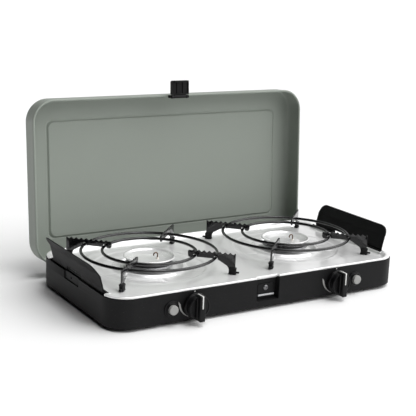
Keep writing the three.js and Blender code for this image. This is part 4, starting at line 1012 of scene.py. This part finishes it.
class STOVE_OT_burners(bpy.types.Operator):
    """Build the burner bases, flame dishes and spark electrodes"""
    bl_idname = "stove.burners"
    bl_label = "Burners"

    def execute(self, context):
        for name, _ in SIDES:
            centre = middle_of(f"burner_dish_{name}") * [1, 1, 0]
            make_piece(f"flame_dish_{name}", [turned(dish_section(), centre, segments=120)],
                       finish_of("polished_steel"), "root", [f"burner_dish_{name}"], sharp=50)
            angle = np.radians([15, 105, 195, 285])
            posts = [turned(filleted([(0, HEAD_Z), (2.1, HEAD_Z), (2.1, DISH_LOW - 0.1), (0, DISH_LOW - 0.1)],
                                     [0, 0.3, 0.3, 0], 3),
                            centre + [POST_RING * math.cos(a), POST_RING * math.sin(a), 0], segments=20)
                     for a in angle]
            # The base's dark finish paints the shade under the dish
            make_piece(f"cast_base_{name}", [turned(base_section(), centre, segments=96)] + posts,
                       finish_of("burner_aluminium"), "root", [f"burner_base_{name}"],
                       sharp=50)
            # The port ring is near black: partly the ports' own dark metal, partly painted shade under the dish's
            # rim
            ports = changed(port_ring(), lambda points: points + centre)
            make_piece(f"flame_ports_{name}", [ports], finish_of("shade_black_steel"), "root")
            spark = middle_of(f"ignition_electrode_{name}")
            low, high = stove_box(f"ignition_electrode_{name}")
            x = high[0] - 2.4
            sleeve = turned(filleted([(0, low[2]), (1.6, low[2]), (2.4, 27), (2.4, 48), (1.8, 58.5),
                                      (0, 58.9)],
                                     [0, 0.3, 0.6, 1, 0.5, 0], 3), (x, spark[1], 0), segments=24)
            make_piece(f"spark_insulator_{name}", [sleeve], finish_of("spark_ceramic"), "root",
                       [f"ignition_electrode_{name}"])
            make_piece(f"spark_wire_{name}", [tube(hook_path(x, spark[1]), 0.95, (0, 1, 0), 12)],
                       finish_of("spark_wire"), "root")
        return {"FINISHED"}


# ---- Taps and knobs ----------------------------------------------------------------------
class STOVE_OT_knobs(bpy.types.Operator):
    """Build the tap knobs with their grips and white pointers"""
    bl_idname = "stove.knobs"
    bl_label = "Knobs"

    def execute(self, context):
        for name, _ in SIDES:
            low, high = stove_box(f"knob_{name}")
            centre = middle_of(f"knob_{name}") * [1, 0, 1]
            back, front, radius = high[1], low[1], (high[2] - low[2]) / 2
            face = back - 12
            skirt = filleted([(0, back), (radius, back), (radius, back - 3.2), (radius - 1.5, back - 4.0),
                              (radius - 2.3, face), (radius - 4.3, face), (radius - 4.9, face + 0.7),
                              (0, face + 0.7)],
                             [0, 0.4, 0.7, 0.6, 1.1, 0.4, 0.3, 0], 4)
            shoulder = block((centre[0], centre[2]), (6.6, radius - 2.6), 2.4, face - 3.2, face + 3, 1.2,
                             axis="y")
            grip = block((centre[0], centre[2]), (4.5, radius), 2.2, front, back - 3, 1.3, axis="y", steps=8)
            make_piece(f"tap_knob_{name}", [turned(skirt, centre, axis="y", segments=96), shoulder, grip],
                       finish_of("black_plastic"), f"knob_{name}", [f"knob_{name}"])
            top = centre[2] + radius
            bend = filleted([(back - 5.5, top + 0.04), (front - 0.04, top + 0.04),
                             (front - 0.04, centre[2] + 0.5)],
                            [0, 1.35, 0], 8, closed=False)
            across = np.array([-1.0, -0.9, 0.9, 1.0])
            y = np.broadcast_to(bend[:, 0, None], (len(bend), 4))
            z = np.broadcast_to(bend[:, 1, None], (len(bend), 4))
            points = np.stack([np.broadcast_to(centre[0] + across, y.shape), y, z], axis=-1)
            line = make_piece(f"pointer_{name}", [grid(points)], finish_of("print"), f"knob_{name}",
                              closed=False)
            face_up(line)
            thicken(line, 0.3)
        return {"FINISHED"}


# ---- Igniters ----------------------------------------------------------------------------
class STOVE_OT_igniters(bpy.types.Operator):
    """Build the igniter collars and buttons"""
    bl_idname = "stove.igniters"
    bl_label = "Igniters"

    def execute(self, context):
        for name, _ in SIDES:
            low, high = stove_box(f"igniter_button_{name}")
            centre = middle_of(f"igniter_button_{name}") * [1, 0, 1]
            radius, front = (high[0] - low[0]) / 2, low[1]
            collar_low, collar_high = stove_box(f"igniter_bezel_{name}")
            outer = (collar_high[0] - collar_low[0]) / 2
            face = collar_low[1]
            wall = -HALF_Y - 0.3
            collar = filleted([(radius + 0.3, face - 0.4), (outer - 2.6, face - 0.4),
                               (outer - 2.2, wall - 1.6),
                               (outer, wall - 1.2), (outer, wall), (9.4, wall), (9.4, collar_high[1]),
                               (radius + 0.3, collar_high[1])],
                              [0.3, 0.7, 0.5, 0.5, 0.1, 0.1, 0.3, 0.3], 4)
            make_piece(f"igniter_collar_{name}", [turned(collar, centre, axis="y", segments=72, loop=True)],
                       finish_of("black_plastic"), "root", [f"igniter_bezel_{name}"])
            button = filleted([(0, front + 0.15), (radius - 1.8, front), (radius, front + 0.4),
                               (radius, -HALF_Y + 0.5), (3, -HALF_Y + 0.5), (3, high[1]), (0, high[1])],
                              [0, 1.2, 0.7, 0.3, 0.2, 0.3, 0], 4)
            make_piece(f"spark_button_{name}", [turned(button, centre, axis="y", segments=72)],
                       finish_of("button_plastic"), f"button_{name}",
                       [f"igniter_button_{name}"])
        return {"FINISHED"}


# ---- Catch -------------------------------------------------------------------------------
class STOVE_OT_catch(bpy.types.Operator):
    """Build the catch bar and its screw in the latch pocket"""
    bl_idname = "stove.catch"
    bl_label = "Catch"

    def execute(self, context):
        low, high = stove_box("catch_plate")
        screw_low, screw_high = stove_box("catch_screw")
        screw = middle_of("catch_screw")
        half = (high[0] - low[0]) / 2
        bar_middle = low[2] + 1.4
        plate = block((0, (low[2] + high[2]) / 2 + 0.6), (half - 0.6, (high[2] - low[2]) / 2 - 0.6), 1.6,
                      high[1] - 1.2, high[1], 0.3, axis="y")
        bar = block((0, bar_middle), (half, 1.4), 0.7, low[1], high[1], 0.6, axis="y")
        make_piece("catch_bar", [bar], finish_of("zinc_steel"), "root", ["catch_plate"])
        make_piece("catch_backing", [plate], finish_of("body_paint"), "root")
        face = screw_low[1]
        head = filleted([(1.7, face + 1.2), (1.7, face + 0.2), (2.6, face), (4, face + 0.9), (4, face + 1.6),
                         (1.8, face + 1.6), (1.8, screw_high[1]), (0, screw_high[1]), (0, face + 1.2)],
                        [0, 0.2, 0.5, 0.4, 0.2, 0.2, 0.2, 0, 0], 3)
        make_piece("catch_screw_head", [turned(head, screw * [1, 0, 1], axis="y", segments=48)],
                   finish_of("dull_steel"), "root", ["catch_screw"])
        return {"FINISHED"}


# ---- Lid ---------------------------------------------------------------------------------
LID_TOP = LID_RIM + 35.5
LID_SHEET = 1.0
LID_HALF_X, LID_HALF_Y = HALF_X - 1, HALF_Y
GROOVE_INSET = 36.5
GROOVE_CORNER = 10


def lid_section(draw, groove, rise):
    """Inset and height from the middle of the outside, over the wall and rim, to the inside's middle.
    A line is pressed outwards round the panel, and the panel within it is pressed inwards."""
    across = np.linspace(-3, 3, 19)
    line = groove * 0.5 * (1 + np.cos(np.clip(np.abs(across + 0.8) / 1.8, 0, 1) * math.pi))
    pressed = line - rise * smooth(0.2, 2.4, across)
    quarter = np.linspace(0, math.pi / 2, 9)
    outside_line = np.stack([GROOVE_INSET + across, LID_TOP + pressed], axis=-1)[::-1]
    outside_draw = np.stack([draw * (1 - np.sin(quarter)), LID_TOP - draw * (1 - np.cos(quarter))], axis=-1)
    hem_start = np.array([(0, LID_RIM + 5.2), (-0.1, LID_RIM + 4.9), (-0.4, LID_RIM + 4.7)])
    roll = np.linspace(0, math.pi, 11)
    rim = np.stack([1.3 - 1.7 * np.cos(roll), LID_RIM + 1.5 - 1.5 * np.sin(roll)], axis=-1)
    hem_end = np.array([(3.0, LID_RIM + 3.2), (2.7, LID_RIM + 4.0), (1.4, LID_RIM + 4.4),
                        (1.0, LID_RIM + 5.2)])
    inner_draw = draw - LID_SHEET
    inside_draw = np.stack([LID_SHEET + inner_draw * (1 - np.cos(quarter)),
                            LID_TOP - LID_SHEET - inner_draw * (1 - np.sin(quarter))], axis=-1)
    inside_line = np.stack([GROOVE_INSET + across, LID_TOP - LID_SHEET + pressed], axis=-1)
    return np.concatenate([outside_line, outside_draw, hem_start, rim, hem_end, inside_draw, inside_line])


def lid_pan(draw, groove, rise):
    """Rounded rectangles of each inset, stacked by height, then swung open about the hinge. The rim's
    roll flattens along the rear wall, which passes close to the tray."""
    section = lid_section(draw, groove, rise)
    inset, height = section[:, 0], section[:, 1]
    x, y = rectangle_rings(LID_HALF_X - inset, LID_HALF_Y - inset, np.maximum(CORNER - inset, GROOVE_CORNER),
                           16)
    rear = smooth(LID_HALF_Y - 16, LID_HALF_Y - 6, y)
    hem = ((height < LID_RIM + 4.6) & (inset > LID_SHEET))[:, None]
    y = np.where(hem, y + rear * (inset - LID_SHEET)[:, None], y)
    points = along("z", x, y, height[:, None])
    return changed(loft(points), lambda drawn: turned_about_x(drawn, -LID_OPEN, HINGE))


class STOVE_OT_lid(bpy.types.Operator):
    """Build the lid with its pressed line and rolled rim"""
    bl_idname = "stove.lid"
    bl_label = "Lid"

    def execute(self, context):
        sizes = context.scene.stove_sizes
        pan = lid_pan(sizes.lid_draw / MM, sizes.groove_depth / MM, sizes.panel_rise / MM)
        make_piece("lid_pan", [pan], finish_of("lid_paint"), "lid", ["lid_shell"], sharp=45)
        return {"FINISHED"}


# ---- Latch -------------------------------------------------------------------------------
LATCH_HALF = 16.5
LATCH_PIN_Y = -HALF_Y + 2.5
LATCH_PIN_Z = LID_RIM - 8.8
LATCH_LENGTH = 26.5


def opened(surface):
    return changed(surface, lambda points: turned_about_x(points, -LID_OPEN, HINGE))


def lever_surfaces():
    """The lever hanging down from its pin: a plate, raised pads, a hooked tip and a barrel."""
    tip = LATCH_PIN_Z - LATCH_LENGTH
    top = LATCH_PIN_Z - 3.2
    middle, half = (top + tip) / 2, (top - tip) / 2
    front = -HALF_Y - 1.4
    back = LATCH_PIN_Y + 2.2
    plate = block((0, middle), (LATCH_HALF, half), 3, front + 1, back - 1.6, 0.7, axis="y")
    pads = [block((x, middle - 0.3), (size, half - 1.4), 1.8, front - 0.2, front + 2, 0.8, axis="y")
            for x, size in ((-10.6, 4.6), (0, 4.3), (10.6, 4.6))]
    ribs = [block((x, middle), (0.9, half - 0.4), 0.5, front + 2, back, 0.4, axis="y")
            for x in (-LATCH_HALF + 1, -5.5, 5.5, LATCH_HALF - 1)]
    ribs += [block((0, z), (LATCH_HALF - 1.2, 0.9), 0.5, front + 2, back, 0.4, axis="y")
             for z in (tip + 1.2, top - 1.2)]
    barrel = turned(filleted([(0, -11.2), (2.6, -11.2), (2.6, 11.2), (0, 11.2)], [0, 0.4, 0.4, 0], 3),
                    (0, LATCH_PIN_Y, LATCH_PIN_Z), axis="x", segments=32)
    neck = block((0, LATCH_PIN_Y), (11.2, 1.6), 0.8, top - 1.2, LATCH_PIN_Z, 0.3)
    toe = block((0, tip + 1.6), (12, 1.5), 0.8, back - 1, back + 2.3, 0.7, axis="y")
    return [plate, *pads, *ribs, barrel, neck, toe]


class STOVE_OT_latch(bpy.types.Operator):
    """Build the latch lever and its bracket at the lid's front edge"""
    bl_idname = "stove.latch"
    bl_label = "Latch"

    def execute(self, context):
        pin = (0, LATCH_PIN_Y, LATCH_PIN_Z)
        lever = [opened(changed(surface, lambda points: turned_about_x(points, -90, pin)))
                 for surface in lever_surfaces()]
        make_piece("latch_handle", lever, finish_of("black_plastic"), "latch",
                   ["latch_lever"])
        wall = -HALF_Y + 1.3
        plate = block((0, LID_RIM + 4), (LATCH_HALF, 7), 2, wall, wall + 1.6, 0.5, axis="y")
        rest = block((0, LID_RIM - 1.2), (LATCH_HALF + 0.6, 1.8), 1.0, wall - 1.2, wall + 3.4, 0.8, axis="y")
        ears = []
        for x in (-LATCH_HALF + 2.5, LATCH_HALF - 2.5):
            ears.append(turned(filleted([(0, -2.5), (2.9, -2.5), (2.9, 2.5), (0, 2.5)], [0, 0.5, 0.5, 0], 3),
                               (x, LATCH_PIN_Y, LATCH_PIN_Z), axis="x", segments=32))
            ears.append(block((x, LATCH_PIN_Y + 0.3), (2.5, 1.6), 0.6, LATCH_PIN_Z, LID_RIM + 1, 0.3))
        make_piece("latch_hinge_plate", [opened(surface) for surface in [plate, rest, *ears]],
                   finish_of("black_plastic"), "lid", ["latch_bracket"])
        return {"FINISHED"}


# ---- Windshields -------------------------------------------------------------------------
SHIELD_FRONT, SHIELD_BACK = -92, 84
WINDOW_FRONT, WINDOW_BACK = -20, 30
SHIELD_CURL = 1.95
SHIELD_BEND = 3
SHIELD_PANEL = 24.5
SHIELD_LEAN = math.radians(14)
LIP_LENGTH = 17.5
LIP_LEAN = math.radians(33)


def shield_section():
    """Across and up from the rod: a curl round it, a straight panel, a fold and a leaning lip."""
    curl = np.radians(np.linspace(140, 355, 20))
    ring_part = SHIELD_CURL * np.stack([np.cos(curl), np.sin(curl)], axis=-1)
    fold = np.array([0.6 + SHIELD_PANEL * math.sin(SHIELD_LEAN), SHIELD_PANEL * math.cos(SHIELD_LEAN)])
    lip = fold + LIP_LENGTH * np.array([math.sin(LIP_LEAN), math.cos(LIP_LEAN)])
    bends = filleted([(SHIELD_CURL, 0), (SHIELD_CURL, 5.4), fold, lip], [0, 6, SHIELD_BEND, 0], 6,
                     closed=False)
    dense = [bends[:-1]]
    dense.append(bends[-2] + (lip - bends[-2]) * np.linspace(0, 1, 16)[1:, None])
    return np.concatenate([ring_part] + dense)


def shield_surface(axis_x, axis_z):
    """The section carried along y. Near the lip's top each row is shorter, by the height of a circle
    at the front corner and of a smaller one at the rear."""
    section = shield_section()
    run = np.concatenate([[0], np.cumsum(np.hypot(*np.diff(section, axis=0).T))])
    left = run[-1] - run
    front_round, rear_round = 19, 11

    def shortened(radius):
        return radius - np.sqrt(np.maximum(radius ** 2 - np.maximum(radius - left, 0) ** 2, 0))

    first = SHIELD_FRONT + shortened(front_round)
    last = SHIELD_BACK - shortened(rear_round)
    columns = np.unique(np.concatenate([
        np.linspace(0, 1, 45),
        (np.array([WINDOW_FRONT, WINDOW_BACK]) - SHIELD_FRONT) / (SHIELD_BACK - SHIELD_FRONT)]))
    y = first[:, None] + (last - first)[:, None] * columns[None, :]
    points = along("y", axis_x + section[:, :1], axis_z + section[:, 1:], y)
    cell_y = (y[:-1, :-1] + y[1:, 1:]) / 2
    in_window = (cell_y > WINDOW_FRONT) & (cell_y < WINDOW_BACK)
    near_rod = (section[:-1, 1] < 4.4)[:, None] & (np.arange(len(section) - 1) < 30)[:, None]
    return grid(points, ~(in_window & near_rod))


class STOVE_OT_windshields(bpy.types.Operator):
    """Build the two folding windshields"""
    bl_idname = "stove.windshields"
    bl_label = "Windshields"

    def execute(self, context):
        axis = pivot_of("windshield_fold_right")
        right = shield_surface(axis[0], axis[2])
        for name, sign in SIDES:
            surface = right if sign > 0 else mirrored(right)
            piece = make_piece(f"shield_{name}", [surface], finish_of("body_paint"), f"windshield_{name}",
                               [f"windshield_{name}"], closed=False, sharp=50)
            thicken(piece, 1.2, offset=0.0)
            low, high = stove_box(f"windshield_rod_{name}")
            rod = filleted([(0, low[1]), (2, low[1]), (2, low[1] + 1), (1.3, low[1] + 1), (1.3, high[1] - 1),
                            (2, high[1] - 1), (2, high[1]), (0, high[1])],
                           [0, 0.4, 0.2, 0.1, 0.1, 0.2, 0.4, 0], 3)
            # The rod is zinc-plated steel; its near-black finish is painted shade, so that the shield's window
            # reads dark
            make_piece(f"shield_rod_{name}",
                       [turned(rod, (sign * axis[0], 0, axis[2]), axis="y", segments=24)],
                       finish_of("shade_black_steel"), "root", [f"windshield_rod_{name}"])
        return {"FINISHED"}


# ---- Gas inlet ---------------------------------------------------------------------------
class STOVE_OT_gas_inlet(bpy.types.Operator):
    """Build the ribbed hose tail at the back"""
    bl_idname = "stove.gas_inlet"
    bl_label = "Gas inlet"

    def execute(self, context):
        low, high = stove_box("gas_inlet_barb")
        centre = middle_of("gas_inlet_barb") * [1, 0, 1]
        wall, end = HALF_Y + 0.3, high[1]
        ribs = [(4.2, wall + 9), (5, wall + 10.2), (4.1, wall + 13.4), (5, wall + 15.2), (4.1, wall + 18.4)]
        section = filleted([(1.6, low[1]), (4.8, low[1]), (4.8, wall), (7, wall), (7, wall + 3),
                            (4.2, wall + 4),
                            *ribs, (3.5, end), (1.6, end)],
                           [0, 0.3, 0.2, 0.4, 0.6, 0.5, 0.2, 0.2, 0.2, 0.2, 0.4, 0.5, 0.2], 3)
        make_piece("hose_tail", [turned(section, centre, axis="y", segments=60, loop=True)],
                   finish_of("brass"), "root", ["gas_inlet_barb"])
        return {"FINISHED"}


# ---- Stage -------------------------------------------------------------------------------
class STOVE_OT_stage(bpy.types.Operator):
    """Lay the pale floor, hang the soft lights and set the camera"""
    bl_idname = "stove.stage"
    bl_label = "Stage"

    def execute(self, context):
        scene, stage = context.scene, context.scene.stove_stage
        scene.view_settings.view_transform = "Standard"
        reach = np.linspace(-40, 40, 5)
        x, y = np.meshgrid(reach, reach)
        points, faces = grid(np.stack([x, y, np.zeros_like(x)], axis=-1))
        mesh = bpy.data.meshes.new("floor")
        mesh.from_pydata(points.tolist(), [], faces)
        floor = bpy.data.objects.new("floor", mesh)
        scene.collection.objects.link(floor)
        mesh.materials.append(coated("Pale floor", stage.floor, 0.9, 60.0, 0.01, specular=0.0,
                                     cloud_scale=0.6,
                                     variation=(0.995, 1.005)))
        world = bpy.data.worlds.new("Studio")
        world.use_nodes = True
        scene.world = world
        studio_surroundings(world.node_tree, stage.dark_side, stage.light_side)
        add_far_light("Key", (0.42, -0.38, 0.82), 80, stage.key)
        add_far_light("Sparkle", (0.1, -0.2, 0.97), 14, stage.sparkle)
        camera_data = bpy.data.cameras.new("Camera")
        camera = bpy.data.objects.new("Camera", camera_data)
        scene.collection.objects.link(camera)
        camera_data.lens = stage.lens
        camera_data.sensor_width = 36.0
        camera_data.dof.use_dof = False
        back = Vector((math.sin(stage.azimuth) * math.cos(stage.elevation),
                       -math.cos(stage.azimuth) * math.cos(stage.elevation), math.sin(stage.elevation)))
        look_at = Vector((-0.0289, MIDDLE_Y * MM, 0.1279))
        right = (-back).cross(Vector((0, 0, 1))).normalized()
        up = right.cross(-back)
        level = math.cos(stage.roll) * right + math.sin(stage.roll) * up
        upright = -math.sin(stage.roll) * right + math.cos(stage.roll) * up
        turn = Matrix((level, upright, back)).transposed().to_4x4()
        camera.matrix_world = Matrix.Translation(look_at + back * stage.distance) @ turn
        scene.camera = camera
        return {"FINISHED"}


def studio_surroundings(tree, dark_side, light_side):
    """White as seen by the camera; as light, it brightens from the left to the right."""
    background = tree.nodes["Background"]
    background.inputs["Color"].default_value = (1, 1, 1, 1)
    where = tree.nodes.new("ShaderNodeTexCoord").outputs["Generated"]
    apart = tree.nodes.new("ShaderNodeSeparateXYZ")
    tree.links.new(where, apart.inputs["Vector"])
    sideways = tree.nodes.new("ShaderNodeMapRange")
    sideways.inputs["From Min"].default_value = -0.35
    sideways.inputs["To Min"].default_value = dark_side
    sideways.inputs["To Max"].default_value = light_side
    tree.links.new(apart.outputs["X"], sideways.inputs["Value"])
    seen = tree.nodes.new("ShaderNodeLightPath").outputs["Is Camera Ray"]
    tree.links.new(math_node(tree, "MAXIMUM", sideways.outputs["Result"], seen),
                   background.inputs["Strength"])


def add_far_light(name, direction, width, strength):
    """A far light as wide as the given angle in degrees, shining from a direction."""
    data = bpy.data.lights.new(name, "SUN")
    data.angle = math.radians(width)
    data.energy = strength
    light = bpy.data.objects.new(name, data)
    light.rotation_mode = "QUATERNION"
    light.rotation_quaternion = Vector(direction).to_track_quat("Z", "Y")
    bpy.context.scene.collection.objects.link(light)
    return light


# ---- Panel and run -----------------------------------------------------------------------
OPERATORS = (
    STOVE_OT_finishes, STOVE_OT_stage, STOVE_OT_body, STOVE_OT_markings, STOVE_OT_tray,
    STOVE_OT_pan_supports, STOVE_OT_burners, STOVE_OT_knobs, STOVE_OT_igniters, STOVE_OT_catch,
    STOVE_OT_lid, STOVE_OT_latch, STOVE_OT_windshields, STOVE_OT_gas_inlet,
)


class STOVE_PT_panel(bpy.types.Panel):
    """Buttons for each group of pieces, with the settings that they read"""
    bl_idname = "STOVE_PT_panel"
    bl_label = "Camping stove"
    bl_space_type = "VIEW_3D"
    bl_region_type = "UI"
    bl_category = "Stove"

    def draw(self, context):
        scene = context.scene
        for settings in (scene.stove_colours, scene.stove_sizes, scene.stove_stage):
            column = self.layout.column(align=True)
            for name in settings.__annotations__:
                column.prop(settings, name)
        column = self.layout.column(align=True)
        for operator in OPERATORS:
            column.operator(operator.bl_idname)


CLASSES = (StoveColours, StoveSizes, StoveStage, *OPERATORS, STOVE_PT_panel)


def register():
    for cls in CLASSES:
        bpy.utils.register_class(cls)
    bpy.types.Scene.stove_colours = PointerProperty(type=StoveColours)
    bpy.types.Scene.stove_sizes = PointerProperty(type=StoveSizes)
    bpy.types.Scene.stove_stage = PointerProperty(type=StoveStage)


def unregister():
    del bpy.types.Scene.stove_stage, bpy.types.Scene.stove_sizes, bpy.types.Scene.stove_colours
    for cls in reversed(CLASSES):
        bpy.utils.unregister_class(cls)


def run_operator(operator):
    group, name = operator.bl_idname.split(".")
    if getattr(getattr(bpy.ops, group), name)() != {"FINISHED"}:
        raise RuntimeError(f"{operator.bl_label} was not built")


def main():
    register()
    for operator in OPERATORS:
        run_operator(operator)
    bpy.context.view_layer.update()


if __name__ == "__main__":
    main()
